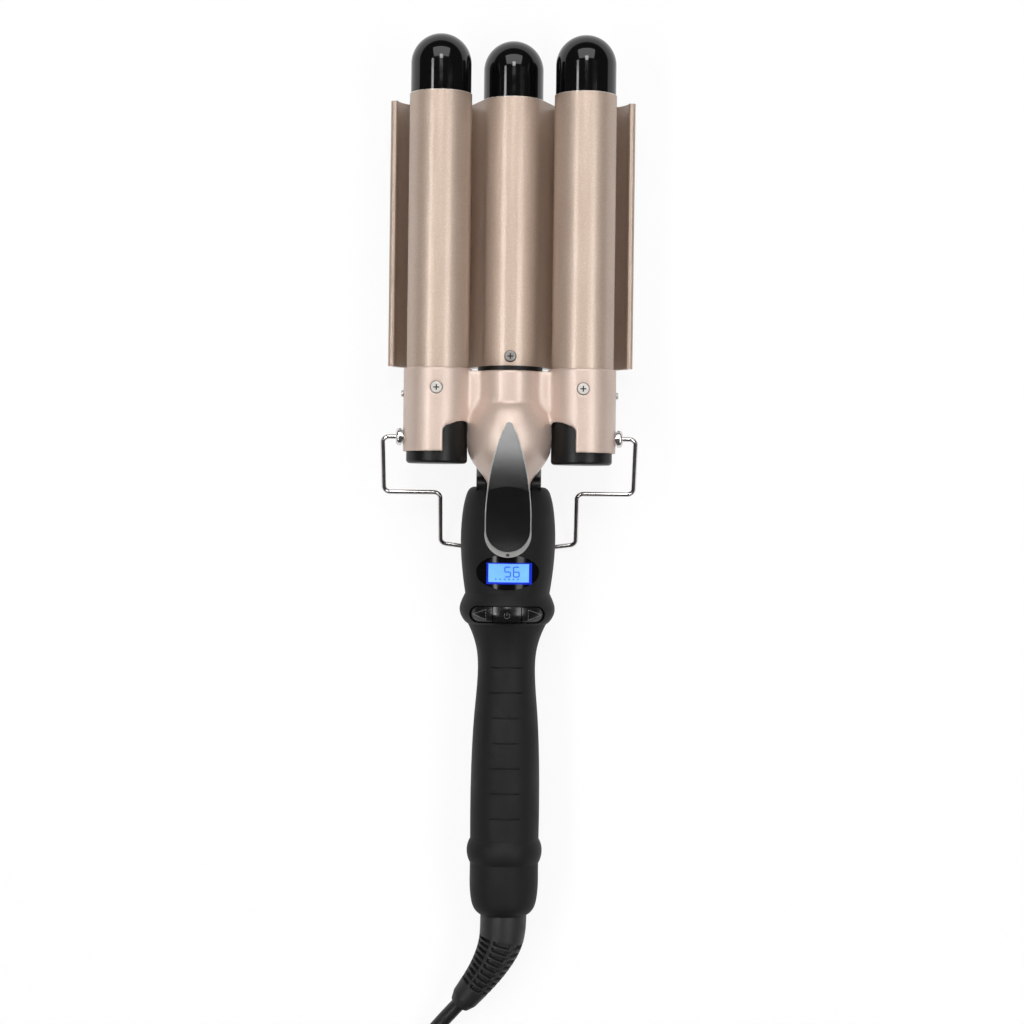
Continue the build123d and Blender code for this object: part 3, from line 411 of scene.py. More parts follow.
class Coat(Enum):
    """The finishes of the waver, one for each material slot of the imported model."""

    # Extruded and drawn aluminium under a baked champagne lacquer with mica flakes. It
    # gives soft bright bands along the tube, faint streaks from the drawing, and a
    # browner tone where the surface turns away.
    COATED_ALUMINIUM = FlakeCoating(
        "champagne_coating", "c3b0a1", "b8a393", roughness=0.46, swing=0.03,
        cloud_mm=22, grain_mm=0.35, bump_mm=0.004, metallic=0.55, specular=0.5,
        edge="85654f", coat=0.7, coat_roughness=0.24,
    )
    # Heat-proof nylon, moulded and sprayed with the same champagne as a wet paint. It
    # gives a slightly lighter and softer sheen than the tubes, and no drawn streaks.
    CHAMPAGNE_PAINT = FlakeCoating(
        "champagne_paint", "d1beb2", "c9b3a6", roughness=0.5, swing=0.03,
        cloud_mm=18, grain_mm=0.35, bump_mm=0.005, metallic=0.5, specular=0.6,
        edge="a8968a", coat=0.8, coat_roughness=0.28, streak_share=0.0,
    )
    # Glass-filled nylon from a mirror-polished mould. It gives a deep black in which the
    # lamps mirror sharply.
    TIP_PLASTIC = Finish(
        "tip_black", "0a0a0a", "060606", roughness=0.07, swing=0.03, cloud_mm=7,
        grain_mm=1.6, bump_mm=0.001, specular=0.45,
    )
    # ABS sprayed with a soft-touch polyurethane. It gives an even, almost unlit black
    # with a broad weak sheen.
    SOFT_TOUCH = Finish(
        "soft_touch_black", "0f0f0f", "0b0b0b", roughness=0.62, swing=0.06,
        cloud_mm=26, grain_mm=0.45, bump_mm=0.012, specular=0.28,
    )
    # Nylon from a finely spark-eroded mould. It gives a satin black with blurred lights.
    HOUSING_PLASTIC = Finish(
        "satin_black", "0f0f0f", "0b0b0b", roughness=0.4, swing=0.06, cloud_mm=16,
        grain_mm=0.5, bump_mm=0.008, specular=0.3,
    )
    # ABS from a polished mould, rubbed by fingers. It gives a semi-gloss black.
    KEY_PLASTIC = Finish(
        "key_black", "141414", "0e0e0e", roughness=0.22, swing=0.06, cloud_mm=5,
        grain_mm=0.6, bump_mm=0.004, specular=0.5,
    )
    # ABS, moulded and painted silver. It gives a thin light rim round the dark inlay.
    LEVER_GREY = Finish(
        "lever_silver", "a3a29f", "8f8e8c", roughness=0.34, swing=0.06, cloud_mm=8,
        grain_mm=0.5, bump_mm=0.006, metallic=0.35,
    )
    # Smoked polycarbonate, moulded glossy. It gives a black window with soft lights.
    LENS = Finish(
        "smoked_lens", "0a080a", "060507", roughness=0.14, swing=0.03, cloud_mm=9,
        grain_mm=2.0, bump_mm=0.001, specular=0.25,
    )
    # The liquid-crystal module's lit glass. It gives an even blue glow.
    DISPLAY = LitGlass(
        "display_blue", "5f9bf2", "4a86e6", roughness=0.2, cloud_mm=6, glow=0.55,
    )
    # Opal acrylic, moulded. It gives a milky white that spreads the lamp behind it.
    DIFFUSER = Finish(
        "milky_guide", "dfe6ee", "d2dae4", roughness=0.3, cloud_mm=6, coat=0.2,
    )
    # Zinc-plated steel, cold-headed into screws. It gives a pale, slightly cloudy metal.
    SCREW_STEEL = Finish(
        "zinc_plate", "dedad5", "bdb8b2", roughness=0.42, swing=0.08, cloud_mm=1.6,
        grain_mm=0.25, bump_mm=0.005, metallic=0.6,
    )
    # Spring and pin steel, ground bare. It gives a grey metal with fine scratches.
    BARE_STEEL = Finish(
        "ground_steel", "a2a3a6", "85868a", roughness=0.32, swing=0.08, cloud_mm=3,
        grain_mm=0.2, bump_mm=0.006, metallic=1.0,
    )
    # Steel wire, bent and chromed. It gives hard light and dark lines along the wire.
    STAND_CHROME = Finish(
        "chrome_wire", "e6e2e0", "cfcac8", roughness=0.2, swing=0.06, cloud_mm=5,
        grain_mm=1.2, bump_mm=0.004, metallic=1.0,
    )
    # Soft PVC, moulded over the cord. It gives a dull black whose slots stay dark.
    BOOT_RUBBER = Finish(
        "boot_rubber", "1f1f1f", "181818", roughness=0.5, swing=0.07, cloud_mm=8,
        grain_mm=0.4, bump_mm=0.01, specular=0.4,
    )
    # PVC sheath, extruded round the wires. It gives a satin black with one soft line.
    CORD_RUBBER = Finish(
        "cord_rubber", "1c1c1c", "151515", roughness=0.44, swing=0.06, cloud_mm=10,
        grain_mm=0.6, bump_mm=0.008, specular=0.4,
    )
    # Brass strip, stamped and left bare. It gives a warm yellow metal.
    BRASS = Finish(
        "bare_brass", "d9b872", "b8924e", roughness=0.28, cloud_mm=4, grain_mm=0.3,
        bump_mm=0.004, metallic=1.0,
    )
    # Alumina, pressed and fired into heater bars. It gives a chalky white.
    HEATER_CERAMIC = Finish(
        "fired_ceramic", "eae6de", "dcd6cb", roughness=0.55, cloud_mm=5,
        grain_mm=0.3, bump_mm=0.012,
    )
    # Aluminium strip, drawn and left bare. It gives a light grey metal.
    CLIP_ALUMINIUM = Finish(
        "drawn_aluminium", "c9cbce", "b0b2b6", roughness=0.36, cloud_mm=6,
        grain_mm=0.3, bump_mm=0.008, metallic=1.0,
    )
    # Glass-epoxy board under green solder mask. It gives a gloss with paler tracks.
    BOARD = Laminate(
        "solder_mask", "17532b", "0f3f20", roughness=0.3, cloud_mm=6, coat=0.3,
    )
    # Polyester relay case, moulded. It gives a plain deep blue.
    RELAY_CASE = Finish(
        "relay_blue", "26305e", "1c2549", roughness=0.3, cloud_mm=4, grain_mm=0.5,
        bump_mm=0.004,
    )
    # PET sleeve, shrunk onto the can. It gives a tight glossy black.
    CAPACITOR_SLEEVE = Finish(
        "sleeve_black", "17171d", "101014", roughness=0.25, cloud_mm=3,
        grain_mm=0.5, bump_mm=0.004,
    )


class Detail(Enum):
    """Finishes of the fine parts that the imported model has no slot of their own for."""

    # Blue light that leaks round the display's glass. It gives a deep blue border.
    DISPLAY_FRAME = LitGlass(
        "display_frame_blue", "1230c4", "0a1c8e", roughness=0.5, cloud_mm=4,
        glow=0.5, specular=0.1,
    )
    # The lit glass itself, under a matt polariser film. It gives a light even blue.
    DISPLAY_WINDOW = LitGlass(
        "display_window_blue", "6ea6ff", "5d97f6", roughness=0.5, cloud_mm=5,
        glow=0.75, specular=0.1,
    )
    # Switched liquid crystal, which holds back part of the light. It gives mid blue.
    DISPLAY_SEGMENT = LitGlass(
        "display_segment", "3a68c9", "315cba", roughness=0.5, cloud_mm=2,
        glow=0.45, specular=0.1,
    )
    # Black acrylic, moulded glossy and bowed. It gives a broad mirror of the front lamp.
    LEVER_INLAY = Finish(
        "inlay_black", "0c0c0c", "080808", roughness=0.19, swing=0.015, cloud_mm=12,
        grain_mm=0.8, bump_mm=0.002, specular=0.65,
    )
    # Pad-printed grey ink. It gives fine signs that show only when near.
    KEY_MARK = Finish(
        "key_mark_grey", "6c6c6c", "575757", roughness=0.3, cloud_mm=1.5,
        grain_mm=0.3, bump_mm=0.002,
    )
    # Black painted as the shade in a small hole or on a screw's cross floor. It gives plain
    # black.
    PIN_HOLE = Finish(
        "hole_shade_black", "0a0a0a", "060606", roughness=0.5, cloud_mm=1.0,
        grain_mm=0.3, bump_mm=0.003,
    )
    # Turned steel, blackened in hot oxide. It gives a dark satin metal.
    BLACK_STEEL = Finish(
        "blackened_steel", "1c1c1e", "121214", roughness=0.3, cloud_mm=2.0,
        grain_mm=0.3, bump_mm=0.004, metallic=0.4,
    )
    # Zinc-plated steel, passivated and dulled by heat. It gives a mid grey metal.
    DULL_ZINC = Finish(
        "dull_zinc", "a8a4a0", "86827e", roughness=0.38, swing=0.08, cloud_mm=1.2,
        grain_mm=0.25, bump_mm=0.006, metallic=0.8,
    )
    # A pale metal colour painted as the highlight on each barrel mouth's lip. It gives a light
    # line.
    CUT_EDGE = Finish(
        "rim_highlight_pale", "efe6df", "dccfc6", roughness=0.3, cloud_mm=3.0,
        grain_mm=0.2, bump_mm=0.003, metallic=0.7,
    )


class Paintbox:
    """Makes each finish once and hands it out again after that."""

    def __init__(self) -> None:
        """Start with no finish made."""
        self._made: dict[str, bpy.types.Material] = {}

    def get(self, choice: Coat | Detail) -> bpy.types.Material:
        """The material of a finish, made at the first call for it.

        Args:
            choice: The finish.

        Returns:
            Its material.
        """
        finish: Finish = choice.value
        if finish.name not in self._made:
            self._made[finish.name] = finish.build()
        return self._made[finish.name]


# ------------------------------------------------------------------ meshes and curves
def new_piece(name: str, data: bpy.types.ID) -> Piece:
    """Put a mesh, curve, lamp or camera in the scene as an object at the origin.

    Args:
        name: The object's name.
        data: What it shows.

    Returns:
        The object.
    """
    piece = bpy.data.objects.new(name, data)
    bpy.context.scene.collection.objects.link(piece)
    return piece


def seeds(name: str, places: list[Vector]) -> Piece:
    """Loose points for a geometry tree to put its copies on.

    Args:
        name: The object's name.
        places: The points, in metres.

    Returns:
        An object of points only.
    """
    mesh = bpy.data.meshes.new(name)
    mesh.from_pydata([tuple(place) for place in places], [], [])
    return new_piece(name, mesh)


def smooth_line(
    name: str, places: list[Vector], steps: int, radii: list[float] | None = None
) -> Piece:
    """An open smooth curve from the first of its places to the last.

    Args:
        name: The object's name.
        places: The control points, in metres.
        steps: The number of steps from one control point to the next.
        radii: The curve's radius at each control point, in metres.

    Returns:
        The curve's object.
    """
    curve = bpy.data.curves.new(name, "CURVE")
    curve.dimensions = "3D"
    curve.resolution_u = steps
    spline = curve.splines.new("NURBS")
    spline.points.add(len(places) - 1)
    for point, place in zip(spline.points, places):
        point.co = (*place, 1.0)
    for point, radius in zip(spline.points, radii or []):
        point.radius = radius
    spline.order_u = 3
    spline.use_endpoint_u = True
    return new_piece(name, curve)


def settled(piece: Piece) -> bpy.types.Mesh:
    """The mesh that an object's modifiers give.

    Args:
        piece: The object with its modifiers.

    Returns:
        A new plain mesh.
    """
    bpy.context.view_layer.update()
    graph = bpy.context.evaluated_depsgraph_get()
    return bpy.data.meshes.new_from_object(piece.evaluated_get(graph))


def smooth(mesh: bpy.types.Mesh) -> None:
    """Shade a mesh smooth."""
    mesh.polygons.foreach_set("use_smooth", [True] * len(mesh.polygons))


@dataclass
class Carrier:
    """The outer faces of some CAD nodes, on which thin marks are laid from above."""

    nodes: tuple[str, ...]

    EYE_HEIGHT = 1.0

    def __post_init__(self) -> None:
        """Gather the nodes' triangles for ray casts."""
        corners: list[Vector] = []
        faces: list[tuple[int, ...]] = []
        for name in self.nodes:
            mesh = bpy.data.objects[name].data
            start = len(corners)
            corners += [v.co.copy() for v in mesh.vertices]
            faces += [tuple(start + i for i in p.vertices) for p in mesh.polygons]
        self._tree = BVHTree.FromPolygons(corners, faces)

    def height(self, x: float, y: float) -> float:
        """The height of the topmost face over a place.

        Args:
            x: The place's X, in metres.
            y: The place's Y, in metres.

        Returns:
            The height in metres.
        """
        eye = Vector((x, y, self.EYE_HEIGHT))
        hit = self._tree.ray_cast(eye, Vector((0, 0, -1)))[0]
        if hit is None:
            raise ValueError(f"nothing lies under {x:.4f}, {y:.4f}")
        return hit.z


@dataclass
class Mark:
    """A thin raised shape on a carrier, drawn as polygons seen from above.

    Attributes:
        name: The piece's name.
        outlines: Polygons of (x, y) places in millimetres from the hinge.
        lift_mm: How far its top stands over the carrier.
        sink_mm: How far its underside lies inside the carrier.
        grid_mm: The largest gap between places that follow the carrier.
    """

    name: str
    outlines: list[Outline]
    lift_mm: float
    sink_mm: float = 0.05
    grid_mm: float = 1.2

    # In metres: no cut is made this near the end, nor beside a corner this near.
    END_GAP = 1e-6
    CORNER_GAP = 1e-7

    def build(self, carrier: Carrier, material: bpy.types.Material) -> Piece:
        """Fill the polygons, cut them up and wrap them over the carrier.

        Args:
            carrier: What the mark lies on.
            material: Its finish.

        Returns:
            The piece.
        """
        mesh = bpy.data.meshes.new(self.name)
        work = bmesh.new()
        for outline in self.outlines:
            work.faces.new([work.verts.new(from_hinge(x, y, 0)) for x, y in outline])
        self._cut(work)
        base = list(work.faces)
        walls = bmesh.ops.extrude_face_region(work, geom=base)
        upper = {g for g in walls["geom"] if isinstance(g, bmesh.types.BMVert)}
        for vert in work.verts:
            ground = carrier.height(vert.co.x, vert.co.y)
            step = self.lift_mm if vert in upper else -self.sink_mm
            vert.co.z = ground + step * MM
        bmesh.ops.recalc_face_normals(work, faces=work.faces)
        work.to_mesh(mesh)
        work.free()
        mesh.materials.append(material)
        return new_piece(self.name, mesh)

    def _cut(self, work: bmesh.types.BMesh) -> None:
        """Cut the flat polygons along a square grid.

        Args:
            work: The mesh in hand.
        """
        step = self.grid_mm * MM
        for axis in (0, 1):
            places = [v.co[axis] for v in work.verts]
            cut = (min(places) // step + 1) * step
            while cut < max(places) - self.END_GAP:
                spot, normal = Vector(), Vector()
                spot[axis], normal[axis] = cut, 1.0
                bmesh.ops.bisect_plane(
                    work,
                    geom=[*work.verts, *work.edges, *work.faces],
                    plane_co=spot,
                    plane_no=normal,
                    dist=self.CORNER_GAP,
                )
                cut += step


def stroke(start: Spot, end: Spot, width: float) -> Outline:
    """A bar with pointed ends between two places.

    Args:
        start: The first point.
        end: The second point.
        width: The bar's width.

    Returns:
        A six-sided polygon.
    """
    (x0, y0), (x1, y1) = start, end
    length = sqrt((x1 - x0) ** 2 + (y1 - y0) ** 2)
    ux, uy = (x1 - x0) / length, (y1 - y0) / length
    h = width / 2
    return [
        (x0, y0),
        (x0 + (ux + uy) * h, y0 + (uy - ux) * h),
        (x1 - (ux - uy) * h, y1 - (uy + ux) * h),
        (x1, y1),
        (x1 - (ux + uy) * h, y1 - (uy - ux) * h),
        (x0 + (ux - uy) * h, y0 + (uy + ux) * h),
    ]


class GeometryTree:
    """A geometry node tree with named number inputs, run once to give a plain mesh."""

    WIRE_SIDES = 8

    def __init__(
        self, name: str, numbers: list[str], counts: list[str] | None = None
    ) -> None:
        """Make the tree and its inputs.

        Args:
            name: The tree's name.
            numbers: The names of its number inputs.
            counts: The names of its whole-number inputs.
        """
        self.graph = bpy.data.node_groups.new(name, "GeometryNodeTree")
        face = self.graph.interface
        face.new_socket("Geometry", in_out="INPUT", socket_type="NodeSocketGeometry")
        for number in numbers:
            face.new_socket(number, in_out="INPUT", socket_type="NodeSocketFloat")
        for count in counts or []:
            face.new_socket(count, in_out="INPUT", socket_type="NodeSocketInt")
        face.new_socket("Geometry", in_out="OUTPUT", socket_type="NodeSocketGeometry")
        self._entry = add_node(self.graph, "NodeGroupInput")

    def socket(self, name: str) -> Socket:
        """The socket that gives a named input."""
        return self._entry.outputs[name]

    def ring(self, loop: str, wire: str, steps: int) -> Socket:
        """A round wire bent into a flat ring.

        Args:
            loop: The named input with the ring's radius.
            wire: The named input with the wire's radius.
            steps: The number of sides round the ring.

        Returns:
            The ring's mesh.
        """
        circles = [
            add_node(
                self.graph, "GeometryNodeCurvePrimitiveCircle",
                {"Resolution": sides, "Radius": self.socket(name)},
            ).outputs[0]
            for sides, name in ((steps, loop), (self.WIRE_SIDES, wire))
        ]
        return add_node(
            self.graph, "GeometryNodeCurveToMesh",
            {"Curve": circles[0], "Profile Curve": circles[1]},
        ).outputs[0]

    def run(
        self,
        name: str,
        result: Socket,
        values: dict[str, float],
        material: bpy.types.Material,
        source: Piece,
    ) -> Piece:
        """Close the tree, run it and keep what it gives as a plain mesh.

        Args:
            name: The piece's name.
            result: The socket with the finished geometry.
            values: The number for each named input.
            material: The piece's finish.
            source: The object that the tree starts from, which is used up.

        Returns:
            The piece, with no modifier on it.
        """
        real = add_node(
            self.graph, "GeometryNodeRealizeInstances", {"Geometry": result}
        )
        painted = add_node(
            self.graph, "GeometryNodeSetMaterial",
            {"Geometry": real.outputs[0], "Material": material},
        )
        add_node(self.graph, "NodeGroupOutput", {0: painted.outputs[0]})
        modifier = source.modifiers.new("shape", "NODES")
        modifier.node_group = self.graph
        for item in self.graph.interface.items_tree:
            if item.in_out == "INPUT" and item.name in values:
                modifier[item.identifier] = values[item.name]
        mesh = settled(source)
        mesh.name = name
        bpy.data.objects.remove(source)
        return new_piece(name, mesh)


# ------------------------------------------------------------------ display
@dataclass
class Display:
    """The lit display under the handle's oval window, with two digits and a row of dots.

    Places are millimetres from the hinge, sizes and lifts are millimetres.
    """

    centre: Spot = (0.67, -35.64)
    frame_half: Spot = (9.1, 4.3)
    frame_lift: float = 0.03
    window_shift: Spot = (-0.2, 0.2)
    window_half: Spot = (8.1, 3.65)
    window_lift: float = 0.06
    digits: str = "56"
    digit_size: Spot = (2.25, 3.9)
    digit_pitch: float = 3.45
    digit_shift: Spot = (1.1, 0.65)
    digit_lift: float = 0.09
    bar: float = 0.5
    dot_count: int = 6
    dot_pitch: float = 1.76
    dot_size: Place = (0.7, 0.5, 0.16)
    dot_start: Spot = (-5.3, -2.25)
    dot_lift: float = 0.04

    SEGMENTS = {"5": "afgcd", "6": "afgecd"}

    def build(self, paints: Paintbox) -> None:
        """Lay the frame, the window, the digits and the dots on the lens.

        Args:
            paints: The finishes.
        """
        lens = Carrier(("display_lens", "handle_front_shell"))
        frame = [self._box((0, 0), self.frame_half)]
        window = [self._box(self.window_shift, self.window_half)]
        marks = (
            (Mark("display_surround", frame, self.frame_lift), Detail.DISPLAY_FRAME),
            (Mark("display_window", window, self.window_lift), Detail.DISPLAY_WINDOW),
            (Mark("display_digits", self._digit_bars(), self.digit_lift),
             Detail.DISPLAY_SEGMENT),
        )
        pieces = [mark.build(lens, paints.get(finish)) for mark, finish in marks]
        pieces.append(self._dots(lens, paints))
        for piece in pieces:
            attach(piece, "handle")
            log.info("%s on the lens", piece.name)

    def _box(self, shift: Spot, half: Spot) -> Outline:
        """A rectangle about a place beside the display's centre.

        Args:
            shift: How far its middle lies from the display's.
            half: Half its width and half its height.

        Returns:
            Its four corners.
        """
        x, y = self.centre[0] + shift[0], self.centre[1] + shift[1]
        w, h = half
        return [(x - w, y - h), (x + w, y - h), (x + w, y + h), (x - w, y + h)]

    def _digit_bars(self) -> list[Outline]:
        """The seven-segment bars of both digits.

        Returns:
            One outline for each lit bar.
        """
        w, h = self.digit_size[0] / 2, self.digit_size[1] / 2
        ends = {
            "a": ((-w, h), (w, h)), "c": ((w, 0), (w, -h)),
            "d": ((-w, -h), (w, -h)), "e": ((-w, 0), (-w, -h)),
            "f": ((-w, h), (-w, 0)), "g": ((-w, 0), (w, 0)),
        }
        bars = []
        for i, digit in enumerate(self.digits):
            x = self.centre[0] + self.digit_shift[0]
            x += (i - (len(self.digits) - 1) / 2) * self.digit_pitch
            y = self.centre[1] + self.digit_shift[1]
            for segment in self.SEGMENTS[digit]:
                (ax, ay), (bx, by) = ends[segment]
                bars.append(stroke((x + ax, y + ay), (x + bx, y + by), self.bar))
        return bars

    def _dots(self, lens: Carrier, paints: Paintbox) -> Piece:
        """Repeat one dot along the window's foot with a geometry tree.

        Args:
            lens: What the dots lie on.
            paints: The finishes.

        Returns:
            The piece with all dots.
        """
        x = self.centre[0] + self.dot_start[0]
        y = self.centre[1] + self.dot_start[1]
        places = [from_hinge(x + self.dot_pitch * i, y, 0) for i in range(self.dot_count)]
        for place in places:
            place.z = lens.height(place.x, place.y) + self.dot_lift * MM
        sides = ("Width", "Depth", "Height")
        tree = GeometryTree("dot_row", list(sides))
        size = add_node(
            tree.graph, "ShaderNodeCombineXYZ",
            dict(enumerate(tree.socket(side) for side in sides)),
        )
        dot = add_node(
            tree.graph, "GeometryNodeMeshCube", {"Size": size.outputs[0]}
        )
        spread = add_node(
            tree.graph, "GeometryNodeInstanceOnPoints",
            {"Points": tree.socket("Geometry"), "Instance": dot.outputs["Mesh"]},
        )
        return tree.run(
            "display_dots", spread.outputs["Instances"],
            {side: length * MM for side, length in zip(sides, self.dot_size)},
            paints.get(Detail.DISPLAY_SEGMENT), seeds("dot_places", places),
        )


# ------------------------------------------------------------------ keys and lever
@dataclass
class KeyMarks:
    """The signs on the three keys: an arrowhead on each side key, a power sign between.

    Places are millimetres from the hinge. The power sign's arc is its first angle, its
    end and its step, in degrees.
    """

    y: float = -52.2
    side_x: float = 11.2
    arrow: Spot = (5.4, 4.2)
    line: float = 0.22
    lift: float = 0.03
    power_r: float = 1.15
    power_drop: float = 0.3
    power_line: float = 1.3
    power_arc: tuple[int, int, int] = (40, 321, 28)

    def build(self, paints: Paintbox) -> None:
        """Lay each sign on its key.

        Args:
            paints: The finishes.
        """
        signs = (
            ("minus_sign", "minus_button", "minus_key", self._arrow(-1)),
            ("plus_sign", "plus_button", "plus_key", self._arrow(1)),
            ("power_sign", "power_button", "power_key", self._power()),
        )
        ink = paints.get(Detail.KEY_MARK)
        for name, node, body, outlines in signs:
            piece = Mark(name, outlines, self.lift).build(Carrier((node,)), ink)
            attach(piece, body)
            log.info("%s on %s", name, node)

    def _arrow(self, side: int) -> list[Outline]:
        """The three sides of an arrowhead that points outwards.

        Args:
            side: One for the right key, minus one for the left.

        Returns:
            One outline for each side.
        """
        long, high = self.arrow
        tip = (side * (self.side_x + long / 2), self.y)
        back = side * (self.side_x - long / 2)
        top, foot = (back, self.y + high / 2), (back, self.y - high / 2)
        return [
            stroke(tip, top, self.line), stroke(tip, foot, self.line),
            stroke(top, foot, self.line),
        ]

    def _power(self) -> list[Outline]:
        """An open ring with a bar in its gap.

        Returns:
            One outline for each straight piece.
        """
        r, y, width = self.power_r, self.y - self.power_drop, self.line * self.power_line
        places = [
            (r * sin(radians(a)), y + r * cos(radians(a)))
            for a in range(*self.power_arc)
        ]
        bars = [stroke(a, b, width) for a, b in zip(places, places[1:])]
        bars.append(stroke((0, y), (0, self.y + r), width))
        return bars


@dataclass
class LeverHoleShade:
    """Black painted as the shade in the small hole at the thumb lever's rear end, in
    millimetres.
    """

    y: float = -28.0
    half: Spot = (0.75, 0.55)
    corners: int = 14
    lift: float = 0.02

    def build(self, paints: Paintbox) -> None:
        """Lay the black painted shade of the hole on the lever.

        Args:
            paints: The finishes.
        """
        turns = [i * tau / self.corners for i in range(self.corners)]
        outline = [
            (self.half[0] * cos(a), self.y + self.half[1] * sin(a)) for a in turns
        ]
        piece = Mark("lever_hole_shade", [outline], self.lift).build(
            Carrier(("thumb_lever",)), paints.get(Detail.PIN_HOLE)
        )
        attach(piece, "front_jaw")
        log.info("%s on the lever", piece.name)


# ------------------------------------------------------------------ screws and barrel mouths
@dataclass
class ScrewShade:
    """Black painted as the shade on the floor of each visible screw's cross, and a black ring
    painted as the shadow in the gap round its head.

    Attributes:
        name: The piece's name.
        body: The body that the screws ride on.
        slot: The record's material slot of the screws. Not used.
        places: The top middle of each head, in millimetres from the hinge.
        head_r: The head's radius.
        proud: How far the head's top stands over what it sits in.
        bend_r: The radius of the tube that it sits in.
        cross: Length and width of the cross's arms.
        cross_top: How far the cross's floor of painted shade lies under the head's top.
        cross_deep: How thick the floor is.
        gap: The wire radius of the black ring painted as the shadow round the head.
        steps: The number of sides round the ring.
    """

    name: str
    body: str
    slot: str
    places: tuple[Place, ...]
    head_r: float
    proud: float
    bend_r: float
    cross: Spot = (2.4, 0.54)
    cross_top: float = 0.2
    cross_deep: float = 0.42
    gap: float = 0.11
    steps: int = 40

    def build(self, paints: Paintbox) -> None:
        """Put a cross of painted shade and a ring of painted shadow on each screw.

        Args:
            paints: The finishes.
        """
        tree = GeometryTree(
            "screw_shade",
            ["Arm", "Width", "Deep", "Top", "Ring", "Gap", "Proud", "Bend"],
        )
        values = {
            "Arm": self.cross[0], "Width": self.cross[1], "Deep": self.cross_deep,
            "Top": -self.cross_top - self.cross_deep / 2, "Ring": self.head_r,
            "Gap": self.gap, "Proud": -self.proud,
        }
        values = {key: value * MM for key, value in values.items()}
        # Beside its top line, a tube falls by the square of the way over twice its radius.
        values["Bend"] = -PER_METRE / 2 / self.bend_r
        # The cross floors and the ring are black painted shade and painted shadow.
        piece = tree.run(
            self.name, self._parts(tree), values, paints.get(Detail.PIN_HOLE),
            seeds("screw_places", [from_hinge(*place) for place in self.places]),
        )
        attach(piece, self.body)
        log.info("%s: %d screws", piece.name, len(self.places))

    def _parts(self, tree: GeometryTree) -> Socket:
        """The nodes that make the cross and the ring and repeat them on the points.

        Args:
            tree: The tree that the nodes go into.

        Returns:
            The copies.
        """
        graph = tree.graph
        cross = add_node(graph, "GeometryNodeJoinGeometry")
        for sides in (("Arm", "Width", "Deep"), ("Width", "Arm", "Deep")):
            size = add_node(
                graph, "ShaderNodeCombineXYZ",
                dict(enumerate(tree.socket(side) for side in sides)),
            )
            bar = add_node(graph, "GeometryNodeMeshCube", {"Size": size.outputs[0]})
            graph.links.new(bar.outputs["Mesh"], cross.inputs[0])
        place = add_node(graph, "GeometryNodeInputPosition")
        x = add_node(graph, "ShaderNodeSeparateXYZ", {0: place.outputs[0]}).outputs[0]
        square = add_node(graph, "ShaderNodeMath", {0: x, 1: x}, operation="MULTIPLY")
        drop = add_node(
            graph, "ShaderNodeMath",
            {0: square.outputs[0], 1: tree.socket("Bend"), 2: tree.socket("Proud")},
            operation="MULTIPLY_ADD",
        )
        both = add_node(graph, "GeometryNodeJoinGeometry")
        ring = tree.ring("Ring", "Gap", self.steps)
        for shape, height in (
            (ring, drop.outputs[0]), (cross.outputs[0], tree.socket("Top")),
        ):
            shift = add_node(graph, "ShaderNodeCombineXYZ", {2: height})
            moved = add_node(
                graph, "GeometryNodeSetPosition",
                {"Geometry": shape, "Offset": shift.outputs[0]},
            )
            graph.links.new(moved.outputs[0], both.inputs[0])
        return add_node(
            graph, "GeometryNodeInstanceOnPoints",
            {"Points": tree.socket("Geometry"), "Instance": both.outputs[0]},
        ).outputs["Instances"]


@dataclass
class BarrelRims:
    """A round wire on the rounded lip of each barrel's mouth, under its tip cap, in a pale
    colour painted as the lip's highlight.

    Places are millimetres from the hinge, and each axis is an (x, z) place.
    """

    y: float = 156.1
    rim_r: float = 12.4
    wire_r: float = 0.13
    steps: int = 96
    front: tuple[Spot, ...] = ((-29.05, 30.9), (29.05, 30.9))
    centre: tuple[Spot, ...] = ((0.0, 17.4),)

    def build(self, paints: Paintbox) -> None:
        """Put a ring on the mouths of the front barrels and of the centre tube.

        Args:
            paints: The finishes.
        """
        groups = (
            ("front_rims", "front_jaw", self.front),
            ("centre_rim", "handle", self.centre),
        )
        for name, body, axes in groups:
            tree = GeometryTree(name, ["Rim", "Wire"])
            spread = add_node(
                tree.graph, "GeometryNodeInstanceOnPoints",
                {"Points": tree.socket("Geometry"),
                 "Instance": tree.ring("Rim", "Wire", self.steps),
                 "Rotation": (radians(90), 0.0, 0.0)},
            )
            # The wire gives the rounded lip; its pale colour is a painted highlight.
            piece = tree.run(
                name, spread.outputs["Instances"],
                {"Rim": self.rim_r * MM, "Wire": self.wire_r * MM},
                paints.get(Detail.CUT_EDGE),
                seeds(name + "_places", [from_hinge(x, self.y, z) for x, z in axes]),
            )
            smooth(piece.data)
            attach(piece, body)
            log.info("%s: %d", piece.name, len(axes))


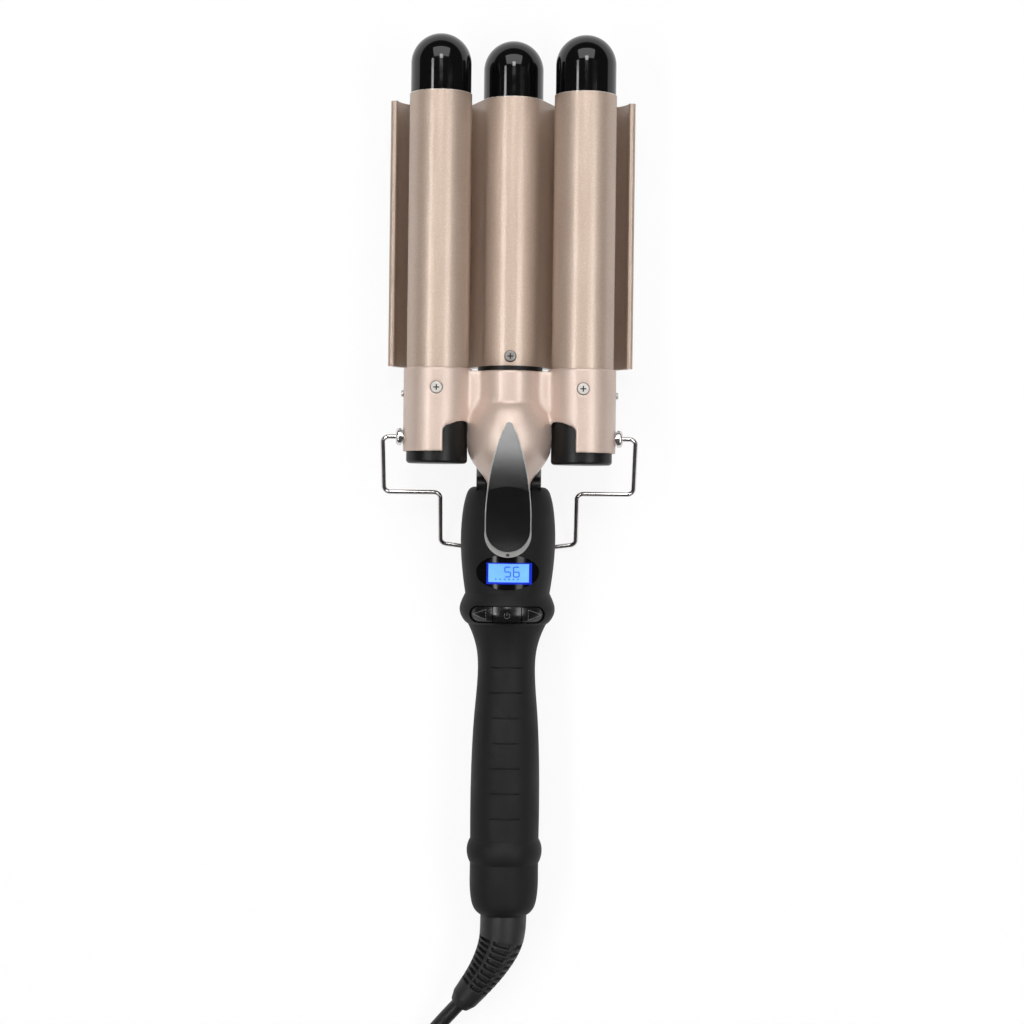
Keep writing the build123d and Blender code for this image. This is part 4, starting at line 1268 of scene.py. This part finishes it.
# ------------------------------------------------------------------ cord and boot
@dataclass
class Boot:
    """The strain relief, a tapering rubber tube with rows of slots cut into it.

    Attributes:
        line: Places in millimetres from the hinge, each with the tube's radius there.
        rows: The number of slots along the tube.
        first_row: How far along the line the first row starts, in millimetres.
        row_pitch: The gap from one row to the next, in millimetres.
        row_share: The share of the pitch that a slot takes.
        row_soft: The share of the pitch over which a slot's long wall slopes.
        columns: The number of slots round the tube.
        turn: How far the columns are turned, in degrees.
        spine: The share of a column that stays uncut.
        column_soft: The share of a column over which a slot's end slopes.
        depth: How deep a slot is, in millimetres.
        around: The number of faces round the tube.
        along: The number of places along it.
        line_steps: The number of steps between two places of its line.
    """

    line: tuple[tuple[Place, float], ...] = (
        ((0.0, -175.0, 17.4), 9.4), ((0.0, -181.0, 17.4), 9.4),
        ((-1.3, -187.5, 17.1), 8.8), ((-4.9, -195.2, 16.2), 7.6),
        ((-9.8, -202.8, 14.7), 6.5), ((-15.4, -210.0, 12.8), 5.6),
    )
    rows: float = 9
    first_row: float = 9.3
    row_pitch: float = 2.64
    row_share: float = 0.6
    row_soft: float = 0.07
    columns: float = 6
    turn: float = -25.0
    spine: float = 0.2
    column_soft: float = 0.035
    depth: float = 1.9
    around: int = 210
    along: int = 300
    line_steps: int = 24

    # The tube is swept this thin, in metres, and then grows to its own radius.
    UNIT_RADIUS = MM
    # Added before a fraction is taken, so that the fraction is never one of a minus.
    ABOVE_ZERO = 10.0

    def build(self, paints: Paintbox) -> None:
        """Sweep the tube, cut its slots and set it in place of the CAD boot.

        Args:
            paints: The finishes.
        """
        tree = GeometryTree(
            "slotted_boot",
            ["Rows", "First Row", "Row Pitch", "Row Share", "Columns", "Turn",
             "Spine", "Depth"],
            ["Around", "Along"],
        )
        values = {
            "Around": self.around, "Along": self.along, "Rows": self.rows,
            "First Row": self.first_row * MM, "Row Pitch": self.row_pitch * MM,
            "Row Share": self.row_share, "Columns": self.columns,
            "Turn": radians(self.turn), "Spine": self.spine, "Depth": self.depth * MM,
        }
        centreline = smooth_line(
            "boot_line", [from_hinge(*place) for place, _ in self.line], self.line_steps,
            [radius * MM for _, radius in self.line],
        )
        piece = tree.run(
            "strain_relief", self._slotted(tree), values,
            paints.get(Coat.BOOT_RUBBER), centreline,
        )
        smooth(piece.data)
        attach(piece, "swivel")
        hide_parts("cord_boot")
        log.info("%s: %d faces", piece.name, len(piece.data.polygons))

    def _slotted(self, tree: GeometryTree) -> Socket:
        """The nodes that sweep the tube and press the slots into it.

        Args:
            tree: The tree that the nodes go into.

        Returns:
            The finished tube.
        """
        graph = tree.graph
        kept, known = self._measured_line(tree)
        unit = add_node(graph, "GeometryNodeSetCurveRadius", {0: kept, 2: 1.0})
        ring = add_node(
            graph, "GeometryNodeCurvePrimitiveCircle",
            {"Resolution": tree.socket("Around"), "Radius": self.UNIT_RADIUS},
        )
        tube = add_node(
            graph, "GeometryNodeCurveToMesh",
            {"Curve": unit.outputs[0], "Profile Curve": ring.outputs[0],
             "Fill Caps": True},
        )
        normal = add_node(graph, "GeometryNodeInputNormal").outputs[0]
        side = add_node(
            graph, "ShaderNodeVectorMath", {0: known["tangent"], 1: (0.0, 0.0, 1.0)},
            operation="CROSS_PRODUCT",
        )
        across = add_node(
            graph, "ShaderNodeVectorMath", {0: normal, 1: side.outputs[0]},
            operation="DOT_PRODUCT",
        )
        upright = add_node(graph, "ShaderNodeSeparateXYZ", {0: normal})
        known["across"] = across.outputs["Value"]
        known["upright"] = upright.outputs[2]
        self._work_out(tree, known)
        shape = tube.outputs[0]
        for amount in ("growth", "press"):
            push = add_node(
                graph, "ShaderNodeVectorMath", {0: normal, "Scale": known[amount]},
                operation="SCALE",
            )
            shape = add_node(
                graph, "GeometryNodeSetPosition",
                {"Geometry": shape, "Offset": push.outputs[0]},
            ).outputs[0]
        return shape

    @staticmethod
    def _measured_line(tree: GeometryTree) -> tuple[Socket, dict[str, Socket]]:
        """The line in even steps, with what the slots need to know kept on each.

        Args:
            tree: The tree that the nodes go into.

        Returns:
            The line, and by name its length so far, its tangent and its radius.
        """
        graph = tree.graph
        radius = add_node(graph, "GeometryNodeInputRadius").outputs[0]
        length = add_node(graph, "GeometryNodeSplineParameter").outputs["Length"]
        tangent = add_node(graph, "GeometryNodeInputTangent").outputs[0]
        line = add_node(
            graph, "GeometryNodeResampleCurve",
            {"Curve": tree.socket("Geometry"), "Count": tree.socket("Along")},
        ).outputs["Curve"]
        known = {}
        for name, kind, fact in (
            ("length", "FLOAT", length), ("tangent", "VECTOR", tangent),
            ("radius", "FLOAT", radius),
        ):
            store = add_node(graph, "GeometryNodeCaptureAttribute")
            store.capture_items.new(kind, name)
            graph.links.new(line, store.inputs[0])
            graph.links.new(fact, store.inputs[1])
            line, known[name] = store.outputs[0], store.outputs[1]
        return line, known

    def _work_out(self, tree: GeometryTree, known: dict[str, Socket]) -> None:
        """Work out how far each place of the tube moves out or in.

        Args:
            tree: The tree that the nodes go into.
            known: Sockets by name, to which each step adds its result.
        """
        inputs = ("Rows", "First Row", "Row Pitch", "Row Share", "Columns", "Turn",
                  "Spine", "Depth")
        known.update({name: tree.socket(name) for name in inputs})
        steps = (
            ("growth", "SUBTRACT", "radius", self.UNIT_RADIUS),
            ("bearing", "ARCTAN2", "across", "upright"),
            ("angle", "ADD", "bearing", "Turn"),
            ("per radian", "DIVIDE", "Columns", tau),
            ("column", "MULTIPLY", "angle", "per radian"),
            ("column up", "ADD", "column", self.ABOVE_ZERO),
            ("column part", "FRACT", "column up"),
            ("column off", "SUBTRACT", "column part", 0.5),
            ("past first", "SUBTRACT", "length", "First Row"),
            ("level", "DIVIDE", "past first", "Row Pitch"),
            ("level up", "ADD", "level", self.ABOVE_ZERO),
            ("row part", "FRACT", "level up"),
            ("row off", "SUBTRACT", "row part", 0.5),
            ("started", "GREATER_THAN", "level", 0.0),
            ("unended", "LESS_THAN", "level", "Rows"),
            ("field", "MULTIPLY", "started", "unended"),
            ("half row", "MULTIPLY", "Row Share", 0.5),
            ("half spine", "MULTIPLY", "Spine", 0.5),
            ("half column", "SUBTRACT", 0.5, "half spine"),
            ("row aside", "ABSOLUTE", "row off"),
            ("row edge", "SUBTRACT", "half row", "row aside"),
            ("row band", "SMOOTHSTEP", "row edge", -self.row_soft, self.row_soft),
            ("column aside", "ABSOLUTE", "column off"),
            ("column edge", "SUBTRACT", "half column", "column aside"),
            ("column band", "SMOOTHSTEP", "column edge", -self.column_soft,
             self.column_soft),
            ("slot", "MULTIPLY", "row band", "column band"),
            ("slot in field", "MULTIPLY", "slot", "field"),
            ("inwards", "MULTIPLY", "Depth", -1.0),
            ("press", "MULTIPLY", "slot in field", "inwards"),
        )
        for name, operation, *values in steps:
            feeds = {i: known.get(value, value) for i, value in enumerate(values)}
            if operation == "SMOOTHSTEP":
                node = add_node(
                    tree.graph, "ShaderNodeMapRange", feeds,
                    interpolation_type=operation,
                )
            else:
                node = add_node(
                    tree.graph, "ShaderNodeMath", feeds, operation=operation
                )
            known[name] = node.outputs[0]


@dataclass
class Cord:
    """The mains cord: out of the boot, into a neat coil of two layers, up to its plug.

    Lengths are millimetres and angles degrees about the coil's centre. Within each turn
    the cord jogs over to the next ring from jog_from on, climbs once to the upper layer,
    and hops over the ring that it crosses there.
    """

    radius: float = 3.0
    length: float = 1720.0
    lead: tuple[Place, ...] = (
        (-15.4, -210.0, 12.8), (-26.6, -222.6, 7.6), (-36.6, -236.8, 4.6),
        (-42.6, -252.8, 3.9), (-44.9, -269.2, 3.9),
    )
    centre_y: float = -286.0
    lower: tuple[float, ...] = (45.0, 39.0, 33.0, 27.0)
    upper: tuple[float, ...] = (30.0, 36.0, 42.0)
    lower_z: float = 3.9
    upper_z: float = 9.1
    start_angle: float = 177.5
    jog_from: float = 290.0
    climb_lead: float = 66.0
    climb_span: float = 62.0
    hop_height: float = 0.8
    hop_lead: float = 12.0
    hop_rise: float = 25.0
    hop_end: float = 345.0
    hop_fall: float = 15.0
    points_per_turn: int = 24
    tail: tuple[Place, ...] = (
        (-188.0, 42.0, 9.1), (-162.0, 41.5, 10.6), (-135.0, 40.0, 16.5),
        (-108.0, 39.0, 18.7),
    )
    line_steps: int = 5
    bevel_steps: int = 6

    def build(self, paints: Paintbox) -> None:
        """Args:
            paints: The finishes.
        """
        points = [from_hinge(*place) for place in self.lead]
        points += self._coil() + [self._at(*place) for place in self.tail]
        piece = smooth_line("mains_cord", points, self.line_steps)
        curve = piece.data
        curve.bevel_depth = self.radius * MM
        curve.bevel_resolution = self.bevel_steps
        curve.use_fill_caps = True
        curve.materials.append(paints.get(Coat.CORD_RUBBER))
        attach(piece, "swivel")
        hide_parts("power_cord", "cord_coil")
        log.info("%s: %d points", piece.name, len(points))

    def _at(self, angle: float, radius: float, z: float) -> Vector:
        """A place at an angle and a radius about the coil's centre."""
        turn = radians(angle)
        return from_hinge(radius * cos(turn), self.centre_y + radius * sin(turn), z)

    def _coil(self) -> list[Vector]:
        """The coil's turns: inwards in the lower layer, then outwards on top of it.

        Returns:
            The turns' places, in metres.
        """
        rings = [*self.lower, *self.upper]
        last_lower = len(self.lower) - 1
        places = []
        step = 360 / self.points_per_turn
        for i in range(len(rings) * self.points_per_turn):
            turn, within = divmod(i * step, 360)
            here = int(turn)
            after = rings[min(here + 1, len(rings) - 1)]
            share = self._ease((within - self.jog_from) / (360 - self.jog_from))
            radius = rings[here] + (after - rings[here]) * share
            z = self.lower_z if here <= last_lower else self.upper_z
            if here == last_lower:
                start = self.jog_from - self.climb_lead
                climb = self._ease((within - start) / self.climb_span)
                z += (self.upper_z - self.lower_z) * climb
            if last_lower <= here < len(rings) - 1:
                rise = (within - self.jog_from + self.hop_lead) / self.hop_rise
                fall = (within - self.hop_end) / self.hop_fall
                z += self.hop_height * self._ease(rise) * (1 - self._ease(fall))
            places.append(self._at(self.start_angle + within, radius, z))
        return places

    @staticmethod
    def _ease(share: float) -> float:
        """A share held between nothing and one, eased at both ends."""
        t = min(max(share, 0.0), 1.0)
        return t * t * (3 - 2 * t)


# ------------------------------------------------------------------ front housing
@dataclass
class FrontHousing:
    """The moulded front housing, with its hard inner corners flowed into soft fillets.

    Attributes:
        voxel: The size of the remeshed faces.
        weld: The gap, in metres, that the CAD copy's loose corners are joined over.
        even_pair: How far a pass pulls each place in, and how far it pushes it back.
        even_passes: The number of passes that take away the voxel steps.
        flow: How far a pass moves a place that may flow freely.
        flow_passes: The number of passes that make the fillets.
        zone_x: Where the freedom to flow rises and falls again away from the middle.
        zone_y: The same along the barrels.
        zone_z: Where it rises with height.
        screw_at: The middle of a socket's screw.
        screw_clear: Where the freedom rises again round the screw.

    The zones are millimetres from the hinge.
    """

    voxel: float = 0.55
    weld: float = 2e-6
    even_pair: Spot = (0.5, -0.52)
    even_passes: int = 3
    flow: float = 0.5
    flow_passes: int = 60
    zone_x: tuple[Spot, Spot] = ((5.0, 9.0), (24.0, 27.0))
    zone_y: tuple[Spot, Spot] = ((20.0, 26.0), (42.5, 45.0))
    zone_z: Spot = (24.0, 28.0)
    screw_at: Spot = (29.05, 38.0)
    screw_clear: Spot = (3.0, 5.0)

    def build(self, paints: Paintbox) -> None:
        """Remesh a copy of the CAD housing and let its shoulders flow.

        Args:
            paints: The finishes.
        """
        mesh = bpy.data.objects["front_housing"].data.copy()
        mesh.name = "housing_shell"
        work = bmesh.new()
        work.from_mesh(mesh)
        bmesh.ops.remove_doubles(work, verts=work.verts, dist=self.weld)
        bmesh.ops.recalc_face_normals(work, faces=work.faces)
        work.to_mesh(mesh)
        work.free()
        mesh.materials.clear()
        raw = new_piece("housing_raw", mesh)
        remesh = raw.modifiers.new("even", "REMESH")
        remesh.mode = "VOXEL"
        remesh.voxel_size = self.voxel * MM
        even = settled(raw)
        bpy.data.objects.remove(raw)
        self._flow(even)
        smooth(even)
        even.materials.append(paints.get(Coat.CHAMPAGNE_PAINT))
        piece = new_piece("housing_shell", even)
        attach(piece, "front_jaw")
        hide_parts("front_housing")
        log.info("%s: %d faces", piece.name, len(even.polygons))

    def _flow(self, mesh: bpy.types.Mesh) -> None:
        """Even out the voxel steps everywhere, and flow the shoulders further.

        Args:
            mesh: The remeshed copy.
        """
        count = len(mesh.vertices)
        places = np.empty(count * 3)
        mesh.vertices.foreach_get("co", places)
        places = places.reshape(-1, 3)
        ends = np.empty(len(mesh.edges) * 2, int)
        mesh.edges.foreach_get("vertices", ends)
        a, b = ends.reshape(-1, 2).T
        degree = np.bincount(ends, minlength=count).astype(float)[:, None]
        free = self._softness(places)[:, None]
        passes = [*self.even_pair] * self.even_passes
        passes += [self.flow * free] * self.flow_passes
        for amount in passes:
            total = np.zeros_like(places)
            for axis in range(3):
                total[:, axis] += np.bincount(a, places[b, axis], count)
                total[:, axis] += np.bincount(b, places[a, axis], count)
            places += (total / degree - places) * amount
        mesh.vertices.foreach_set("co", places.ravel())
        mesh.update()

    def _softness(self, places: np.ndarray) -> np.ndarray:
        """How far each place may flow: fully at the shoulders, not at all at fits.

        Args:
            places: One place a row, in metres.

        Returns:
            A share from nothing to one for each place.
        """
        x = np.abs(places[:, 0]) * PER_METRE
        y = places[:, 1] * PER_METRE - HINGE_SHIFT
        z = places[:, 2] * PER_METRE

        def rise(value: np.ndarray, span: Spot) -> np.ndarray:
            """Nothing before the span, one after it, eased between."""
            t = np.clip((value - span[0]) / (span[1] - span[0]), 0, 1)
            return t * t * (3 - 2 * t)

        zone = rise(x, self.zone_x[0]) * (1 - rise(x, self.zone_x[1]))
        zone *= rise(y, self.zone_y[0]) * (1 - rise(y, self.zone_y[1]))
        zone *= rise(z, self.zone_z)
        screw = np.hypot(x - self.screw_at[0], y - self.screw_at[1])
        return zone * rise(screw, self.screw_clear)


# ------------------------------------------------------------------ studio
@dataclass
class Lamp:
    """A soft box: where it hangs, its size, its power and what it is turned to."""

    name: str
    place: Place
    size: Spot
    power: float
    aim: Place = (0.0, 0.0, 0.03)

    def build(self) -> None:
        """Hang the soft box and turn it towards its aim, with its length along Y."""
        data = bpy.data.lights.new(self.name, "AREA")
        data.shape = "RECTANGLE"
        data.size, data.size_y = self.size
        data.energy = self.power
        lamp = new_piece(self.name, data)
        lamp.location = self.place
        away = (Vector(self.place) - Vector(self.aim)).normalized()
        long_way = (Vector((0, 1, 0)) - away * away.y).normalized()
        across = long_way.cross(away)
        turn = Matrix((across, long_way, away)).transposed()
        lamp.rotation_euler = turn.to_euler()


@dataclass
class Studio:
    """The pale floor, the soft boxes, the sky and the camera, in metres and degrees.

    Attributes:
        floor_half: Half the floor's side.
        floor_drop: How far the floor lies under the table plane.
        floor_colour: The floor's sRGB code.
        floor_roughness: The floor's roughness.
        floor_lift: How far the floor turns to plain white where it is seen.
        sky: The strength of the dim sky.
        haze: The strength of its white foot.
        haze_span: The heights between which the foot fades into the sky.
        camera_place: Where the camera stands.
        camera_turn: How far it is turned about its own axis.
        camera_lens: Its focal length, in millimetres.
        camera_sensor: Its sensor's width, in millimetres.
        lamps: The soft boxes.
    """

    floor_half: float = 6.0
    floor_drop: float = 0.0001
    floor_colour: str = "f2f2f2"
    floor_roughness: float = 0.9
    floor_lift: float = 0.89
    sky: float = 0.06
    haze: float = 1.0
    haze_span: Spot = (-0.02, 0.05)
    camera_place: Place = (0.00148, 0.00568, 0.9309)
    camera_turn: float = 0.72
    camera_lens: float = 78.84
    camera_sensor: float = 36.0
    lamps: tuple[Lamp, ...] = (
        Lamp("left_strip", (-0.62, -0.21, 1.0), (0.16, 1.25), 6.6,
             (0.0, -0.21, 0.03)),
        Lamp("right_box", (0.62, -0.24, 1.0), (0.34, 1.23), 6.6,
             (0.0, -0.24, 0.03)),
        Lamp("front_box", (0.0, 0.96, 0.98), (1.3, 0.88), 9.0, (0.0, 0.15, 0.03)),
        Lamp("far_box", (0.02, 1.25, 3.0), (0.6, 0.86), 16.0),
    )

    WHITE = (1.0, 1.0, 1.0, 1.0)

    def build(self) -> None:
        """Set up everything that is not the object."""
        bpy.context.scene.view_settings.view_transform = "Standard"
        for lamp in self.lamps:
            lamp.build()
        self._floor()
        self._sky()
        self._camera()
        log.info("studio: %d soft boxes", len(self.lamps))

    @staticmethod
    def _seen(tree: Tree) -> Socket:
        """One for rays from the camera and for rays that metal and glass send on.

        Args:
            tree: The floor's or the sky's tree.

        Returns:
            One or nothing.
        """
        path = add_node(tree, "ShaderNodeLightPath")
        seen = path.outputs["Is Camera Ray"]
        for kind in ("Is Glossy Ray", "Is Transmission Ray"):
            seen = add_node(
                tree, "ShaderNodeMath", {0: seen, 1: path.outputs[kind]},
                operation="MAXIMUM",
            ).outputs[0]
        return seen

    def _floor(self) -> None:
        """A wide pale floor that keeps the object's soft shadow."""
        half = self.floor_half
        mesh = bpy.data.meshes.new("floor")
        corners = [(-half, -half), (half, -half), (half, half), (-half, half)]
        mesh.from_pydata(
            [(x, y, -self.floor_drop) for x, y in corners], [], [(0, 1, 2, 3)]
        )
        floor = new_piece("floor", mesh)
        material = bpy.data.materials.new("pale_floor")
        material.use_nodes = True
        tree = material.node_tree
        tree.nodes.clear()
        matt = add_node(
            tree, "ShaderNodeBsdfPrincipled",
            {"Base Color": linear(self.floor_colour),
             "Roughness": self.floor_roughness, "Specular IOR Level": 0.0},
        )
        white = add_node(tree, "ShaderNodeEmission", {"Strength": 1.0})
        lift = add_node(
            tree, "ShaderNodeMath", {0: self._seen(tree), 1: self.floor_lift},
            operation="MULTIPLY",
        )
        mixed = add_node(
            tree, "ShaderNodeMixShader",
            {0: lift.outputs[0], 1: matt.outputs[0], 2: white.outputs[0]},
        )
        add_node(tree, "ShaderNodeOutputMaterial", {"Surface": mixed.outputs[0]})
        mesh.materials.append(material)

    def _sky(self) -> None:
        """A dim sky whose foot is white where it meets the floor."""
        world = bpy.data.worlds.new("studio_sky")
        bpy.context.scene.world = world
        world.use_nodes = True
        tree = world.node_tree
        tree.nodes.clear()
        way = add_node(tree, "ShaderNodeTexCoord").outputs["Generated"]
        height = add_node(tree, "ShaderNodeSeparateXYZ", {0: way}).outputs[2]
        low, high = self.haze_span
        foot = add_node(
            tree, "ShaderNodeMapRange",
            {"Value": height, "From Min": low, "From Max": high, "To Min": 1.0,
             "To Max": 0.0},
        )
        share = add_node(
            tree, "ShaderNodeMath",
            {0: foot.outputs["Result"], 1: self._seen(tree)}, operation="MULTIPLY",
        )
        dim, white = (
            add_node(
                tree, "ShaderNodeBackground",
                {"Color": self.WHITE, "Strength": strength},
            ).outputs[0]
            for strength in (self.sky, self.haze)
        )
        mixed = add_node(
            tree, "ShaderNodeMixShader", {0: share.outputs[0], 1: dim, 2: white}
        )
        add_node(tree, "ShaderNodeOutputWorld", {"Surface": mixed.outputs[0]})

    def _camera(self) -> None:
        """Look straight down on the waver."""
        data = bpy.data.cameras.new("camera")
        data.lens = self.camera_lens
        data.sensor_width = self.camera_sensor
        camera = new_piece("camera", data)
        camera.location = self.camera_place
        camera.rotation_euler = (0.0, 0.0, radians(self.camera_turn))
        bpy.context.scene.camera = camera


# ------------------------------------------------------------------ the whole
BARREL_SCREWS = ScrewShade(
    "barrel_screw_shade", "front_jaw", "screw_steel",
    ((-29.05, 38.0, 45.25), (29.05, 38.0, 45.25)),
    head_r=2.4, proud=0.75, bend_r=13.6,
)
NECK_SCREW = ScrewShade(
    "neck_screw_shade", "handle", "screw_steel", ((0.0, 51.6, 30.55),),
    head_r=2.35, proud=0.65, bend_r=12.5,
)
OWN_FINISH = {
    "lever_inlay": Detail.LEVER_INLAY, "hinge_pin": Detail.BLACK_STEEL,
    "pin_clip": Detail.BLACK_STEEL, "neck_screw": Detail.DULL_ZINC,
}
"""CAD nodes that show another finish than their slot's."""


def dress_nodes(frame: dict, paints: Paintbox) -> None:
    """Give every CAD node its finish.

    Args:
        paints: The finishes.
    """
    slots = {p["node"]: p["material_slot"] for p in frame["record"]["subparts"]}
    for name, node in frame["nodes"].items():
        material = paints.get(OWN_FINISH.get(name) or Coat[slots[name].upper()])
        if not node.material_slots:
            node.data.materials.append(material)
        for place in node.material_slots:
            place.material = material
    log.info("dressed %d CAD nodes", len(frame["nodes"]))


def main() -> None:
    """Build the waver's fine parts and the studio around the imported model."""
    logging.basicConfig(level=logging.INFO, format="%(name)s %(message)s")
    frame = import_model()
    paints = Paintbox()
    dress_nodes(frame, paints)
    Studio().build()
    parts = (
        Cord(), Boot(), Display(), KeyMarks(), LeverHoleShade(), BARREL_SCREWS, NECK_SCREW,
        BarrelRims(), FrontHousing(),
    )
    for part in parts:
        part.build(paints)


if __name__ == "__main__":
    main()
